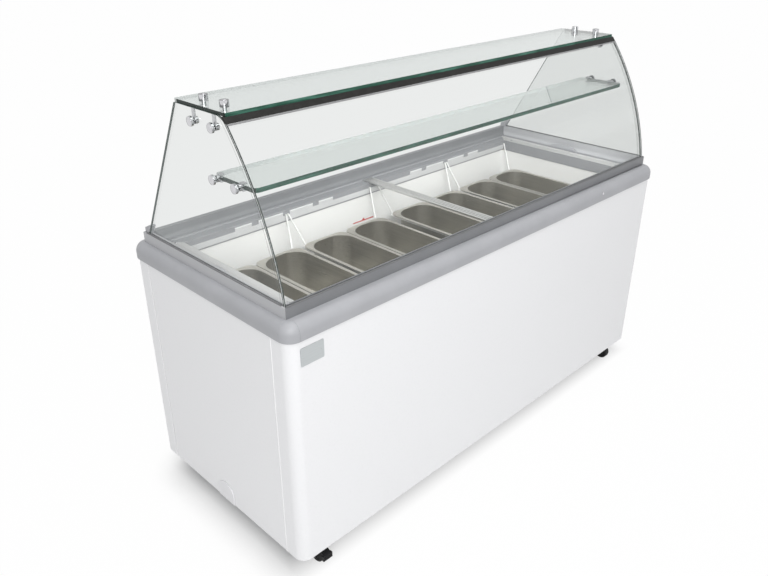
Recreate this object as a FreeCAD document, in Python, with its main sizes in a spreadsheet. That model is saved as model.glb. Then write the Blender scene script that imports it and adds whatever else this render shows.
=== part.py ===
import FreeCAD, Part
import math
import os

import Sketcher

# Glass-topped dipping cabinet for gelato pans, standing on four swivel casters.
# Millimetres. +Z up, +X along the length, customer side (curved glass) at -Y.
# The origin is the middle of the footprint, on the floor.

SIZES = {
    # Cabinet body
    "body_height": 643,
    "corner_radius": 30,
    "panel_wall": 2,
    "corner_return": 35,
    "seam_gap": 1,
    "side_inset": 0.6,
    # Floor pan under the machine space
    "pan_plate": 3,
    "pan_upstand": 25,
    "pan_fit": 0.2,
    # Insulated tub
    "machine_height": 183,
    "floor_insulation": 75,
    "end_insulation": 96,
    "side_insulation": 92,
    "well_corner": 20,
    "liner_wall": 1.5,
    # Plastic rim
    "bumper_overhang": 5,
    "bumper_height": 45,
    "bumper_round": 27,
    "lip_inset_ends": 20,
    "lip_inset_sides": 29,
    "lip_height": 27,
    "lip_wall": 16,
    "lip_cove": 12,
    "front_groove_fit": 1.5,
    "ledge_height": 42,
    "ledge_step": 4,
    "ledge_step_width": 30,
    "ledge_overhang": 2,
    # Glass canopy
    "glass_wall": 6,
    "glass_setback": 5,
    "glass_fit": 0.3,
    "groove_depth": 8,
    "front_radius": 820,
    "front_lean": 9.5,
    "canopy_height": 386,
    "top_wall": 8,
    "top_setback": 10,
    "top_depth": 199,
    "top_inset": 4,
    "top_corner": 6,
    "bend_radius": 42,
    "rear_edge_setback": 5,
    "rear_edge_inset": 17,
    "strip_height": 13,
    "gasket_height": 2,
    "gasket_width": 4,
    # Shelf between the end panels
    "shelf_drop": 156,
    "shelf_wall": 11,
    "shelf_front_gap": 22.7,
    "shelf_depth": 152,
    "shelf_gap": 12,
    "shelf_corner": 14,
    # Chrome fittings
    "disc_radius": 11.5,
    "disc_wall": 6,
    "cap_radius": 10.5,
    "cap_height": 15,
    "bolt_radius": 4,
    "bolt_clearance": 0.5,
    "joint_front": 47,
    "joint_rear": 127,
    "joint_drop": 30,
    "joint_reach": 30,
    "joint_radius": 8,
    "bracket_wall": 4,
    "bracket_width": 10,
    "nut_wall": 5,
    "clamp_front": 44,
    "clamp_rear": 128,
    "jaw_width": 14,
    "jaw_height": 18,
    "jaw_bite": 8,
    "jaw_fit": 0.1,
    # Pans
    "pan_width": 165,
    "pan_length": 360,
    "pan_depth": 120,
    "pan_drop": 62,
    "pan_rim": 10,
    "pan_wall": 1,
    "pan_corner": 54,
    "pan_rim_corner": 28,
    "pan_taper": 9,
    "pan_bottom_round": 22,
    "pan_turn_down": 3,
    "pan_pair_gap": 2.5,
    "pan_hanger_gap": 12,
    "pan_centre_gap": 40,
    "pan_end_gap": 7,
    "pan_side_gap": 58,
    # Wire frames that carry the pans in pairs
    "wire_radius": 2.5,
    "wire_seat": 0.3,
    "frame_margin": 5.2,
    "leg_inset": 14,
    "hook_spacing": 8.5,
    # Tabbed strips on the rim's inner face
    "tab_strip_wall": 2,
    "tab_strip_low": 5,
    "tab_strip_height": 16,
    "tab_height": 11,
    "wide_tab": 88,
    "wide_tab_offset": 57,
    "narrow_tab": 57,
    "narrow_tab_offset": 154,
    "strip_end_gap": 1,
    # Middle bar across the well
    "bar_width": 36,
    "bar_wall": 6,
    "bar_end_gap": 4,
    "bar_groove": 4,
    "bar_groove_depth": 2,
    # Retainers and corner blocks beside the end glass
    "retainer_length": 124,
    "retainer_rise": 18,
    "retainer_wall": 8,
    "block_width": 16,
    "block_height": 25,
    "block_gap": 0.3,
    "block_inset": 2.5,
    # Cooling machinery
    "tube_radius": 5,
    "tube_offset": 20,
    "tube_bend": 30,
    "tube_first_rise": 50,
    "tube_pitch": 80,
    "tube_end_inset": 205.5,
    "compressor_inset": 620,
    "compressor_y": 60,
    "compressor_radius": 78,
    "compressor_height": 150,
    "compressor_foot": 12,
    "foot_half_length": 94,
    "foot_half_width": 62,
    "relay_reach": 97,
    "relay_height": 58,
    "condenser_inset": 320,
    "condenser_width": 270,
    "condenser_height": 140,
    "condenser_wall": 34,
    "condenser_gap": 6,
    "fin_wall": 1,
    "fin_pitch": 9,
    "coil_radius": 4,
    "fan_radius": 62,
    "fan_gap": 8,
    "fan_tip_gap": 3,
    "fan_plate": 3,
    "fan_hub_radius": 17,
    "fan_hub_length": 22,
    "fan_hub_gap": 1,
    "fan_blade_wall": 2,
    "fan_blade_fill": 0.9,
    "fan_pitch_angle": 32,
    "motor_radius": 30,
    "motor_length": 45,
    "motor_arm_gap": 15,
    "motor_arm_height": 20,
    "shaft_radius": 4,
    "running_clearance": 0.05,
    # Rear service face
    "grille_width": 300,
    "grille_height": 150,
    "grille_rise": 20,
    "grille_wall": 1.5,
    "slot_height": 7,
    "slot_pitch": 13,
    "slot_margin": 18,
    "control_inset": 620,
    "control_width": 190,
    "control_height": 100,
    "control_rise": 43,
    "control_recess": 16,
    "control_wall": 2,
    "control_fit": 0.2,
    "knob_offset": 48,
    "knob_radius": 19,
    "knob_height": 12,
    "knob_gap": 0.3,
    "knob_shaft_radius": 3,
    "grip_width": 4.8,
    "grip_length": 34,
    "grip_height": 14.5,
    "switch_offset": 45,
    "switch_width": 22,
    "switch_height": 32,
    "switch_tip": 3,
    "switch_dip": 1.8,
    "switch_gap": 1.2,
    "switch_pin_radius": 1.5,
    "inlet_inset": 85,
    "inlet_rise": 58,
    "inlet_radius": 10,
    "inlet_nut_radius": 15,
    "inlet_bore": 4.5,
    "inlet_fit": 0.1,
    "inlet_proud": 5,
    # Defrost drain
    "drain_inset": 64,
    "drain_rise": 26,
    "drain_radius": 10,
    "drain_bore": 7,
    "drain_bend": 34,
    "drain_notch": 1,
    "drain_fit": 0.1,
    "drain_cover_radius": 36,
    "drain_cover_wall": 3,
    "drain_cover_gap": 0.3,
    "spigot_length": 14,
    "spigot_clearance": 0.05,
    # Casters
    "caster_inset_x": 84,
    "caster_inset_y": 58,
    "caster_plate": 60,
    "caster_plate_wall": 3,
    "caster_gap": 0.3,
    "crown_height": 11,
    "crown_length": 34,
    "kingpin_radius": 6,
    "fork_wall": 3,
    "fork_gap": 1.5,
    "axle_radius": 4,
    "axle_head_radius": 6.4,
    "axle_trail": 16,
    "axle_boss": 9,
    "wheel_radius": 25,
    "wheel_width": 22,
    "wheel_round": 4,
    "wheel_dish": 3,
    "wheel_rim": 1.5,
    "wheel_top_gap": 7.7,
    "pedal_width": 30,
    "pedal_reach": 26,
    "pedal_wall": 8,
    "pedal_top": 43,
    "pedal_low": 27,
    "pedal_pin_radius": 2.5,
    "pedal_pin_level": 51,
    "pedal_pin_reach": 14,
}

# How far joined pieces run into each other and cutters run past a face
OVERRUN = 1
COIL_ROWS = 5
FAN_BLADES = 5
# The corners of the plan, anticlockwise from the right rear, as the side along X and along Y
QUARTERS = ((1, 1), (-1, 1), (-1, -1), (1, -1))

doc = FreeCAD.newDocument("dipping_cabinet")
sheet = doc.addObject("Spreadsheet::Sheet", "Sizes")
for row, (alias, number) in enumerate(SIZES.items(), start=1):
    sheet.set(f"A{row}", alias)
    sheet.set(f"B{row}", str(number))
    sheet.setAlias(f"B{row}", alias)
doc.recompute()


class Size:
    """A length or angle kept twice: as a formula on the sheet's cells and as its number now."""

    def __init__(self, formula, number):
        self.formula = formula
        self.number = number

    @staticmethod
    def of(thing):
        return thing if isinstance(thing, Size) else Size(repr(float(thing)), float(thing))

    def __add__(self, other):
        other = Size.of(other)
        return Size(f"({self.formula} + {other.formula})", self.number + other.number)

    def __sub__(self, other):
        other = Size.of(other)
        return Size(f"({self.formula} - {other.formula})", self.number - other.number)

    def __mul__(self, other):
        other = Size.of(other)
        return Size(f"({self.formula} * {other.formula})", self.number * other.number)

    def __truediv__(self, other):
        other = Size.of(other)
        return Size(f"({self.formula} / {other.formula})", self.number / other.number)

    def __neg__(self):
        return Size(f"(0 - {self.formula})", -self.number)

    def __radd__(self, other):
        return Size.of(other) + self

    def __rsub__(self, other):
        return Size.of(other) - self

    def __rmul__(self, other):
        return Size.of(other) * self


def cell(alias):
    """The size held in one named cell."""
    return Size(f"Sizes.{alias}", float(getattr(sheet, alias)))


def sine(angle):
    """The sine of an angle in degrees."""
    return Size(f"sin({angle.formula})", math.sin(math.radians(angle.number)))


def cosine(angle):
    """The cosine of an angle in degrees."""
    return Size(f"cos({angle.formula})", math.cos(math.radians(angle.number)))


def root(size):
    """The square root of a size."""
    return Size(f"sqrt({size.formula})", math.sqrt(size.number))


# Document objects


def bind(thing, prop, size):
    """Drive one property of an object from the sheet."""
    thing.setExpression(prop, Size.of(size).formula)


def place(thing, x=0, y=0, z=0):
    """Drive the position of an object from the sheet."""
    bind(thing, "Placement.Base.x", x)
    bind(thing, "Placement.Base.y", y)
    bind(thing, "Placement.Base.z", z)
    return thing


def block(name, x_span, y_span, z_span):
    """A box between two corners."""
    box = doc.addObject("Part::Box", name)
    for prop, (low, high) in zip(("Length", "Width", "Height"), (x_span, y_span, z_span)):
        bind(box, prop, Size.of(high) - low)
    return place(box, x_span[0], y_span[0], z_span[0])


TURNS = {
    "x": FreeCAD.Rotation(FreeCAD.Vector(0, 1, 0), 90),
    "y": FreeCAD.Rotation(FreeCAD.Vector(1, 0, 0), -90),
    "z": FreeCAD.Rotation(),
}


def rod(name, axis, radius, length, x, y, z):
    """A cylinder that starts at a point and runs along +X, +Y or +Z."""
    cylinder = doc.addObject("Part::Cylinder", name)
    bind(cylinder, "Radius", radius)
    bind(cylinder, "Height", length)
    cylinder.Placement = FreeCAD.Placement(FreeCAD.Vector(), TURNS[axis])
    return place(cylinder, x, y, z)


def joined(name, pieces):
    """Several shapes grown into one solid."""
    union = doc.addObject("Part::MultiFuse", name)
    union.Shapes = pieces
    return union


def bundle(name, pieces):
    """Several separate solids kept together."""
    together = doc.addObject("Part::Compound", name)
    together.Links = pieces
    return together


def cut(name, base, tools):
    """A shape less one or more others."""
    difference = doc.addObject("Part::Cut", name)
    difference.Base = base
    difference.Tool = tools[0] if len(tools) == 1 else bundle(name + "_tools", tools)
    return difference


def overlap(name, first, second):
    """What two shapes have in common."""
    shared = doc.addObject("Part::Common", name)
    shared.Base = first
    shared.Tool = second
    return shared


def arc_middle(start, end, radius, bulge):
    """A point half way along the short arc between two points; bulge +1 swells to the right."""
    (x0, y0), (x1, y1) = start, end
    chord = math.hypot(x1 - x0, y1 - y0)
    rise = radius - math.sqrt(max(radius * radius - chord * chord / 4, 0.0))
    return (
        (x0 + x1) / 2 + bulge * rise * (y1 - y0) / chord,
        (y0 + y1) / 2 - bulge * rise * (x1 - x0) / chord,
    )


def draw(body, plane, outline):
    """A closed, fully constrained sketch on one of a body's own planes.

    Each point of the outline is (across, up), or (across, up, radius, bulge) where the edge that
    leaves it is an arc.
    """
    sketch = body.newObject("Sketcher::SketchObject", body.Name + "_outline")
    support = next(face for face in body.Origin.OriginFeatures if face.Role == plane)
    sketch.AttachmentSupport = [(support, "")]
    sketch.MapMode = "FlatFace"
    points = [(Size.of(corner[0]), Size.of(corner[1])) for corner in outline]
    spots = [(across.number, up.number) for across, up in points]
    count = len(outline)
    ends = []
    for index, corner in enumerate(outline):
        start = spots[index]
        end = spots[(index + 1) % count]
        first = FreeCAD.Vector(*start, 0)
        last = FreeCAD.Vector(*end, 0)
        if len(corner) == 2:
            sketch.addGeometry(Part.LineSegment(first, last))
            ends.append((1, 2))
            continue
        middle = FreeCAD.Vector(*arc_middle(start, end, Size.of(corner[2]).number, corner[3]), 0)
        # An arc in a sketch always runs anticlockwise, so one that swells to the left starts at its end.
        if corner[3] > 0:
            sketch.addGeometry(Part.Arc(first, middle, last))
            ends.append((1, 2))
        else:
            sketch.addGeometry(Part.Arc(last, middle, first))
            ends.append((2, 1))
    for index in range(count):
        following = (index + 1) % count
        joint = Sketcher.Constraint("Coincident", index, ends[index][1], following, ends[following][0])
        sketch.addConstraint(joint)
    for index, (across, up) in enumerate(points):
        for kind, size in (("DistanceX", across), ("DistanceY", up)):
            rule = Sketcher.Constraint(kind, -1, 1, index, ends[index][0], size.number)
            bind(sketch, f"Constraints[{sketch.addConstraint(rule)}]", size)
    for index, corner in enumerate(outline):
        if len(corner) == 4:
            radius = Size.of(corner[2])
            rule = Sketcher.Constraint("Radius", index, radius.number)
            bind(sketch, f"Constraints[{sketch.addConstraint(rule)}]", radius)
    return sketch


def prism(name, axis, outline, low, high):
    """An outline drawn square to an axis and padded between two places along it."""
    body = doc.addObject("PartDesign::Body", name)
    plane = {"x": "YZ_Plane", "y": "XZ_Plane", "z": "XY_Plane"}[axis]
    pad = body.newObject("PartDesign::Pad", name + "_pad")
    pad.Profile = draw(body, plane, outline)
    bind(pad, "Length", Size.of(high) - low)
    # The pad on the XZ plane grows towards -Y, so it starts from its high end.
    bind(body, f"Placement.Base.{axis}", high if axis == "y" else low)
    return body


def turned(name, plane, outline, axis, angle=360):
    """An outline revolved about the sketch's own horizontal or vertical axis."""
    body = doc.addObject("PartDesign::Body", name)
    sketch = draw(body, plane, outline)
    revolution = body.newObject("PartDesign::Revolution", name + "_turn")
    revolution.Profile = sketch
    revolution.ReferenceAxis = (sketch, [axis])
    revolution.Angle = angle
    return body


def corner_set(name, section, x, y):
    """One section turned through a quarter at each corner of the plan."""
    corners = []
    for quarter, (x_side, y_side) in enumerate(QUARTERS):
        corner = turned(f"{name}_{quarter}", "XZ_Plane", section, "V_Axis", 90)
        spin = FreeCAD.Rotation(FreeCAD.Vector(0, 0, 1), 90 * quarter)
        corner.Placement = FreeCAD.Placement(FreeCAD.Vector(), spin)
        corners.append(place(corner, x_side * x, y_side * y))
    return corners


def soft_rectangle(half_x, half_y, radius, y_middle=0):
    """A rectangle about the middle with rounded corners, anticlockwise."""
    left, right = -Size.of(half_x), Size.of(half_x)
    front, rear = y_middle - Size.of(half_y), y_middle + Size.of(half_y)
    return [
        (left + radius, front),
        (right - radius, front, radius, 1),
        (right, front + radius),
        (right, rear - radius, radius, 1),
        (right - radius, rear),
        (left + radius, rear, radius, 1),
        (left, rear - radius),
        (left, front + radius, radius, 1),
    ]


def solid(name, shape):
    """A shape made directly, for bent wire and pressed sheet."""
    feature = doc.addObject("Part::Feature", name)
    feature.Shape = shape
    return feature


def bent_tube(points, radius, bend):
    """A round bar along straight runs, with a tangent arc of one radius at each turn."""
    corners = [FreeCAD.Vector(*point) for point in points]
    edges = []
    start = corners[0]
    for before, corner, after in zip(corners, corners[1:], corners[2:]):
        back = (before - corner).normalize()
        ahead = (after - corner).normalize()
        half_turn = (math.pi - back.getAngle(ahead)) / 2
        trim = bend * math.tan(half_turn)
        first = corner + back * trim
        last = corner + ahead * trim
        middle = corner + (back + ahead).normalize() * (bend / math.cos(half_turn) - bend)
        edges.append(Part.LineSegment(start, first).toShape())
        edges.append(Part.Arc(first, middle, last).toShape())
        start = last
    edges.append(Part.LineSegment(start, corners[-1]).toShape())
    path = Part.Wire(edges)
    heading = (corners[1] - corners[0]).normalize()
    section = Part.Wire([Part.makeCircle(radius, corners[0], heading)])
    return path.makePipeShell([section], True, False)


nodes = []


def node(thing, label):
    """Name a finished sub-part."""
    thing.Label = label
    nodes.append(thing)
    return thing


# Shared sizes

# The row of pans sets the well, and the well with its insulation sets the body.
pan_width = cell("pan_width")
pan_pitch = pan_width + cell("pan_pair_gap")
pair_width = pan_pitch + pan_width
hanger_x = cell("pan_centre_gap") / 2 + pair_width + cell("pan_hanger_gap") / 2
well_x = hanger_x + cell("pan_hanger_gap") / 2 + pair_width + cell("pan_end_gap")
well_y = cell("pan_length") / 2 + cell("pan_side_gap")
half_length = well_x + cell("end_insulation")
half_depth = well_y + cell("side_insulation")

# The casters set the height of the body's underside.
wheel_radius = cell("wheel_radius")
caster_stack = cell("wheel_top_gap") + cell("crown_height") + cell("caster_gap") + cell("caster_plate_wall")
body_bottom = wheel_radius * 2 + caster_stack
body_top = body_bottom + cell("body_height")
pan_rim_level = body_top - cell("pan_drop")

corner_radius = cell("corner_radius")
panel_wall = cell("panel_wall")
rail_x = half_length - corner_radius
rail_y = half_depth - corner_radius
bumper_top = body_top + cell("bumper_height")
lip_x = half_length - cell("lip_inset_ends")
lip_y = half_depth - cell("lip_inset_sides")
lip_top = bumper_top + cell("lip_height")
lip_wall = cell("lip_wall")
ledge_top = body_top + cell("ledge_height")
ledge_low = ledge_top - cell("ledge_step")
ledge_x = well_x - cell("ledge_overhang")
ledge_y = well_y - cell("ledge_overhang")
step_x = ledge_x + cell("ledge_step_width")
step_y = ledge_y + cell("ledge_step_width")
floor_top = body_bottom + cell("pan_plate")
glass_wall = cell("glass_wall")
glass_fit = cell("glass_fit")
glass_x = lip_x - cell("glass_setback")
glass_low = lip_top - cell("groove_depth") + glass_fit
canopy_top = lip_top + cell("canopy_height")
top_low = canopy_top - cell("top_wall")
strip_low = top_low - cell("strip_height")
bolt_radius = cell("bolt_radius")
bolt_hole = bolt_radius + cell("bolt_clearance")
running = cell("running_clearance")

# The curved glass is one arc: its foot stands behind the lip and its head leans back.
arc_y = cell("front_radius") * cosine(cell("front_lean")) - lip_y + cell("glass_setback")
arc_z = lip_top - cell("front_radius") * sine(cell("front_lean"))


def arc_depth(radius, level):
    """Where an arc about the curved glass's centre stands at one level."""
    rise = level - arc_z
    return arc_y - root(radius * radius - rise * rise)


# Sheet metal body


def wrap_panel(name, side):
    """A panel whose ends turn round the body's corners; side is -1 at the front, +1 at the rear."""
    inner = corner_radius - panel_wall
    bend = half_depth - corner_radius
    stop = bend - cell("corner_return")
    bulge = -side
    outline = [
        (-half_length, side * stop),
        (-half_length, side * bend, corner_radius, bulge),
        (-rail_x, side * half_depth),
        (rail_x, side * half_depth, corner_radius, bulge),
        (half_length, side * bend),
        (half_length, side * stop),
        (half_length - panel_wall, side * stop),
        (half_length - panel_wall, side * bend, inner, -bulge),
        (rail_x, side * (half_depth - panel_wall)),
        (-rail_x, side * (half_depth - panel_wall), inner, -bulge),
        (panel_wall - half_length, side * bend),
        (panel_wall - half_length, side * stop),
    ]
    return prism(name, "z", outline, body_bottom, body_top)


def side_panel(name, side):
    """A flat end panel between the wrapped corners."""
    reach = half_depth - corner_radius - cell("corner_return") - cell("seam_gap")
    outer = side * (half_length - cell("side_inset"))
    inner = outer - side * panel_wall
    x_span = (outer, inner) if side < 0 else (inner, outer)
    return block(name, x_span, (-reach, reach), (body_bottom, body_top))


drain_level = body_bottom + cell("drain_rise")
spigot_radius = cell("drain_bore") - cell("spigot_clearance")
node(wrap_panel("front_panel", -1), "front_panel")
node(side_panel("right_side_panel", 1), "right_side_panel")
drain_hole = rod(
    "drain_hole", "x", cell("drain_bore"), panel_wall * 3, -half_length - panel_wall, 0, drain_level
)
node(cut("left_side", side_panel("left_side_sheet", -1), [drain_hole]), "left_side_panel")

grille_x = half_length - cell("condenser_inset")
grille_low = body_bottom + cell("grille_rise")
grille_high = grille_low + cell("grille_height")
vent_x = cell("grille_width") / 2 - cell("slot_margin") / 2
vent_z = (grille_low + cell("slot_margin") / 2, grille_high - cell("slot_margin") / 2)
control_across = half_length - cell("control_inset")
control_x = (control_across - cell("control_width") / 2, control_across + cell("control_width") / 2)
control_low = body_bottom + cell("control_rise")
control_z = (control_low, control_low + cell("control_height"))
inlet_x = half_length - cell("inlet_inset")
inlet_level = body_bottom + cell("inlet_rise")
through_rear = (half_depth - panel_wall * 2, half_depth + panel_wall)
vent_window = block("vent_window", (grille_x - vent_x, grille_x + vent_x), through_rear, vent_z)
control_window = block("control_window", control_x, through_rear, control_z)
inlet_hole = rod(
    "inlet_hole",
    "y",
    cell("inlet_radius") + cell("inlet_fit"),
    panel_wall * 3,
    inlet_x,
    half_depth - panel_wall * 2,
    inlet_level,
)
rear_sheet = wrap_panel("rear_sheet", 1)
node(cut("rear_wall", rear_sheet, [vent_window, control_window, inlet_hole]), "rear_panel")

pan_fit = cell("pan_fit")
floor_x = half_length - panel_wall - cell("side_inset") - pan_fit
floor_y = half_depth - panel_wall - pan_fit
floor_corner = corner_radius - panel_wall
floor_block = prism(
    "floor_block",
    "z",
    soft_rectangle(floor_x, floor_y, floor_corner),
    body_bottom,
    body_bottom + cell("pan_upstand"),
)
floor_space = prism(
    "floor_space",
    "z",
    soft_rectangle(floor_x - panel_wall, floor_y - panel_wall, floor_corner - panel_wall),
    floor_top,
    body_bottom + cell("pan_upstand") * 2,
)
notch_radius = cell("drain_radius") + cell("drain_notch")
spigot_notch = rod("spigot_notch", "x", notch_radius, panel_wall * 6, -half_length, 0, drain_level)
node(cut("floor_pan", floor_block, [floor_space, spigot_notch]), "floor_pan")

# Insulated tub

liner_wall = cell("liner_wall")
foam_bottom = body_bottom + cell("machine_height")
liner_floor = foam_bottom + cell("floor_insulation")
liner_z = (liner_floor - liner_wall, body_top)
well_corner = cell("well_corner")
tub_x = well_x + liner_wall
tub_y = well_y + liner_wall
tub_corner = well_corner + liner_wall
wall_x = well_x - well_corner
wall_y = well_y - well_corner
drain_radius = cell("drain_radius")
drain_x = well_x - cell("drain_inset")
floor_drain = rod(
    "floor_drain", "z", cell("drain_bore"), liner_wall * 3, -drain_x, 0, liner_floor - liner_wall * 2
)
floor_plate = prism(
    "floor_plate", "z", soft_rectangle(well_x, well_y, well_corner), liner_z[0], liner_floor
)
corner_wall = [
    (well_corner, liner_z[0]),
    (tub_corner, liner_z[0]),
    (tub_corner, liner_z[1]),
    (well_corner, liner_z[1]),
]
# The lining is a floor, four walls and a rounded piece in each corner.
lining = [
    cut("liner_bottom", floor_plate, [floor_drain]),
    block("liner_front", (-wall_x, wall_x), (-tub_y, -well_y), liner_z),
    block("liner_rear", (-wall_x, wall_x), (well_y, tub_y), liner_z),
    block("liner_left", (-tub_x, -well_x), (-wall_y, wall_y), liner_z),
    block("liner_right", (well_x, tub_x), (-wall_y, wall_y), liner_z),
]
node(bundle("liner_set", lining + corner_set("liner_corner", corner_wall, wall_x, wall_y)), "liner")


def number(*aliases):
    """The present values of some named cells."""
    values = [cell(alias).number for alias in aliases]
    return values[0] if len(values) == 1 else values


def evaporator_path():
    """Passes of tube round the tub, each turning back above the last at the open rear."""
    across = tub_x.number + number("tube_offset")
    along = tub_y.number + number("tube_offset")
    first = liner_floor.number + number("tube_first_rise")
    end = across - number("tube_end_inset")
    pitch = number("tube_pitch")
    tail = foam_bottom.number - number("tube_bend")
    passes = int((body_top.number - number("tube_bend") - first) / pitch) + 1
    points = [(end, along, tail)]
    for index in range(passes):
        level = first + index * pitch
        side = 1 if index % 2 == 0 else -1
        points += [
            (side * end, along, level),
            (side * across, along, level),
            (side * across, -along, level),
            (-side * across, -along, level),
            (-side * across, along, level),
            (-side * end, along, level),
        ]
    return points


evaporator_shape = bent_tube(evaporator_path(), *number("tube_radius", "tube_bend"))
evaporator = node(solid("evaporator", evaporator_shape), "evaporator_tube")

foam_x = half_length - panel_wall - cell("side_inset")
foam_y = half_depth - panel_wall
foam_block = prism(
    "foam_block", "z", soft_rectangle(foam_x, foam_y, floor_corner), foam_bottom, body_top
)
foam_space = prism(
    "foam_space",
    "z",
    soft_rectangle(tub_x, tub_y, tub_corner),
    liner_floor - liner_wall,
    body_top + liner_wall,
)
foam_drain = rod(
    "foam_drain",
    "z",
    drain_radius + cell("drain_fit"),
    liner_floor - foam_bottom + panel_wall * 2,
    -drain_x,
    0,
    foam_bottom - panel_wall,
)
foam_shell = cut("foam_shell", foam_block, [foam_space, foam_drain])
node(cut("foam_body", foam_shell, [evaporator]), "insulation")

# Plastic rim

bumper_face = half_depth + cell("bumper_overhang")
bumper_end = half_length + cell("bumper_overhang")
bumper_round = cell("bumper_round")


def bumper_section(face, inner):
    """Half-round rail section, drawn from the outer face to the seat of the ledge."""
    bulge = -1 if face.number < 0 else 1
    shoulder = face - bumper_round * bulge
    return [
        (face, body_top),
        (face, bumper_top - bumper_round, bumper_round, bulge),
        (shoulder, bumper_top),
        (inner, bumper_top),
        (inner, body_top),
    ]


rails = [
    prism("bumper_front", "x", bumper_section(-bumper_face, -rail_y), -rail_x, rail_x),
    prism("bumper_rear", "x", bumper_section(bumper_face, rail_y), -rail_x, rail_x),
    prism("bumper_left", "y", bumper_section(-bumper_end, -rail_x), -rail_y, rail_y),
    prism("bumper_right", "y", bumper_section(bumper_end, rail_x), -rail_y, rail_y),
]
node(bundle("bumper_set", rails), "bumper_rails")

corner_reach = corner_radius + cell("bumper_overhang")
corner_section = [
    (0, body_top),
    (corner_reach, body_top),
    (corner_reach, bumper_top - bumper_round, bumper_round, 1),
    (corner_reach - bumper_round, bumper_top),
    (0, bumper_top),
]
node(
    bundle("bumper_corner_set", corner_set("bumper_corner", corner_section, rail_x, rail_y)),
    "bumper_corners",
)

ledge_block = block("ledge_block", (-rail_x, rail_x), (-rail_y, rail_y), (body_top, ledge_top))
ledge_well = block(
    "ledge_well", (-ledge_x, ledge_x), (-ledge_y, ledge_y), (body_top - panel_wall, bumper_top)
)
ledge_shelf = block("ledge_shelf", (-step_x, step_x), (-step_y, step_y), (ledge_low, bumper_top))
node(cut("ledge", ledge_block, [ledge_well, ledge_shelf]), "ledge_frame")

lip_cove = cell("lip_cove")
front_groove = cell("glass_setback") - cell("front_groove_fit")


def lip_section(face, seat, groove):
    """Upright lip with a hollow foot on the ledge and, where glass stands, a groove in its top."""
    inward = 1 if face.number < 0 else -1
    groove_floor = lip_top - cell("groove_depth")
    inner = face + inward * lip_wall
    foot = inner + inward * lip_cove
    points = [(face, bumper_top), (face, lip_top)]
    if groove is not None:
        near = face + inward * groove
        far = face + inward * (cell("glass_setback") + glass_wall + glass_fit)
        points += [(near, lip_top), (near, groove_floor), (far, groove_floor), (far, lip_top)]
    points += [
        (inner, lip_top),
        (inner, ledge_top + lip_cove, lip_cove, inward),
        (foot, ledge_top),
        (seat, ledge_top),
        (seat, bumper_top),
    ]
    return points


def mitred(name, rail, corners_of):
    """A rail cut at 45 degrees at both ends."""
    wedge = prism(name + "_mitre", "z", corners_of, body_top, canopy_top)
    return overlap(name, rail, wedge)


lip_run = lip_wall + lip_cove
end_groove = cell("glass_setback") - glass_fit
front_mitre = [
    (-lip_x, -lip_y),
    (lip_x, -lip_y),
    (lip_x - lip_run, lip_run - lip_y),
    (lip_run - lip_x, lip_run - lip_y),
]
right_mitre = [
    (lip_x, -lip_y),
    (lip_x, lip_y),
    (lip_x - lip_run, lip_y - lip_run),
    (lip_x - lip_run, lip_run - lip_y),
]
rear_mitre = [(-across, -along) for across, along in front_mitre]
left_mitre = [(-across, -along) for across, along in right_mitre]
# The long rails' feet stop where their mitres meet the inside of the end bumpers.
long_seat = lip_y - (lip_x - rail_x)
front_bar = prism("lip_front_bar", "x", lip_section(-lip_y, -long_seat, front_groove), -lip_x, lip_x)
rear_bar = prism("lip_rear_bar", "x", lip_section(lip_y, long_seat, None), -lip_x, lip_x)
left_bar = prism("lip_left_bar", "y", lip_section(-lip_x, -rail_x, end_groove), -lip_y, lip_y)
right_bar = prism("lip_right_bar", "y", lip_section(lip_x, rail_x, end_groove), -lip_y, lip_y)
lips = [
    mitred("lip_front", front_bar, front_mitre),
    mitred("lip_rear", rear_bar, rear_mitre),
    mitred("lip_left", left_bar, left_mitre),
    mitred("lip_right", right_bar, right_mitre),
]
node(bundle("lip_set", lips), "lip_rails")

# Glass canopy

front_outer = cell("front_radius")
front_inner = front_outer - glass_wall
panel_arc = front_inner - glass_fit
bend_radius = cell("bend_radius")
rear_foot = lip_y - cell("rear_edge_inset")
head_y = arc_depth(front_outer, strip_low)
top_front_y = head_y + cell("top_setback")
top_rear_y = top_front_y + cell("top_depth")
rear_head = top_rear_y - cell("rear_edge_setback")

# The bend is the fillet between the flat top and the panel's own arc.
bend_z = top_low - bend_radius
bend_rise = bend_z - arc_z
bend_y = arc_y - root((panel_arc - bend_radius) * (panel_arc - bend_radius) - bend_rise * bend_rise)
bend_share = panel_arc / (panel_arc - bend_radius)
bend_start_y = arc_y + (bend_y - arc_y) * bend_share
bend_start_z = arc_z + bend_rise * bend_share


def end_glass(name, side):
    """An end panel: straight rear edge, flat top, bent shoulder and long curved front edge."""
    outline = [
        (arc_depth(panel_arc, glass_low), glass_low),
        (rear_foot, glass_low),
        (rear_head, top_low),
        (bend_y, top_low, bend_radius, 1),
        (bend_start_y, bend_start_z, panel_arc, 1),
    ]
    span = (glass_x - glass_wall, glass_x) if side > 0 else (-glass_x, glass_wall - glass_x)
    sheet_glass = prism(name + "_sheet", "x", outline, *span)
    holes = []
    for y, z in joint_spots() + clamp_spots():
        hole = rod(f"{name}_hole_{len(holes)}", "x", bolt_hole, glass_wall * 3, span[0] - glass_wall, y, z)
        holes.append(hole)
    return cut(name, sheet_glass, holes)


joint_level = top_low - cell("joint_drop")
joint_y = (top_front_y + cell("joint_front"), top_front_y + cell("joint_rear"))
shelf_level = canopy_top - cell("shelf_drop")
shelf_front_y = arc_depth(front_inner, shelf_level) + cell("shelf_front_gap")
clamp_y = (shelf_front_y + cell("clamp_front"), shelf_front_y + cell("clamp_rear"))


def joint_spots():
    """Where the top connectors pass through an end panel, as depth and level."""
    return [(y, joint_level) for y in joint_y]


def clamp_spots():
    """Where the shelf clamps pass through an end panel, as depth and level."""
    return [(y, shelf_level) for y in clamp_y]


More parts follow.
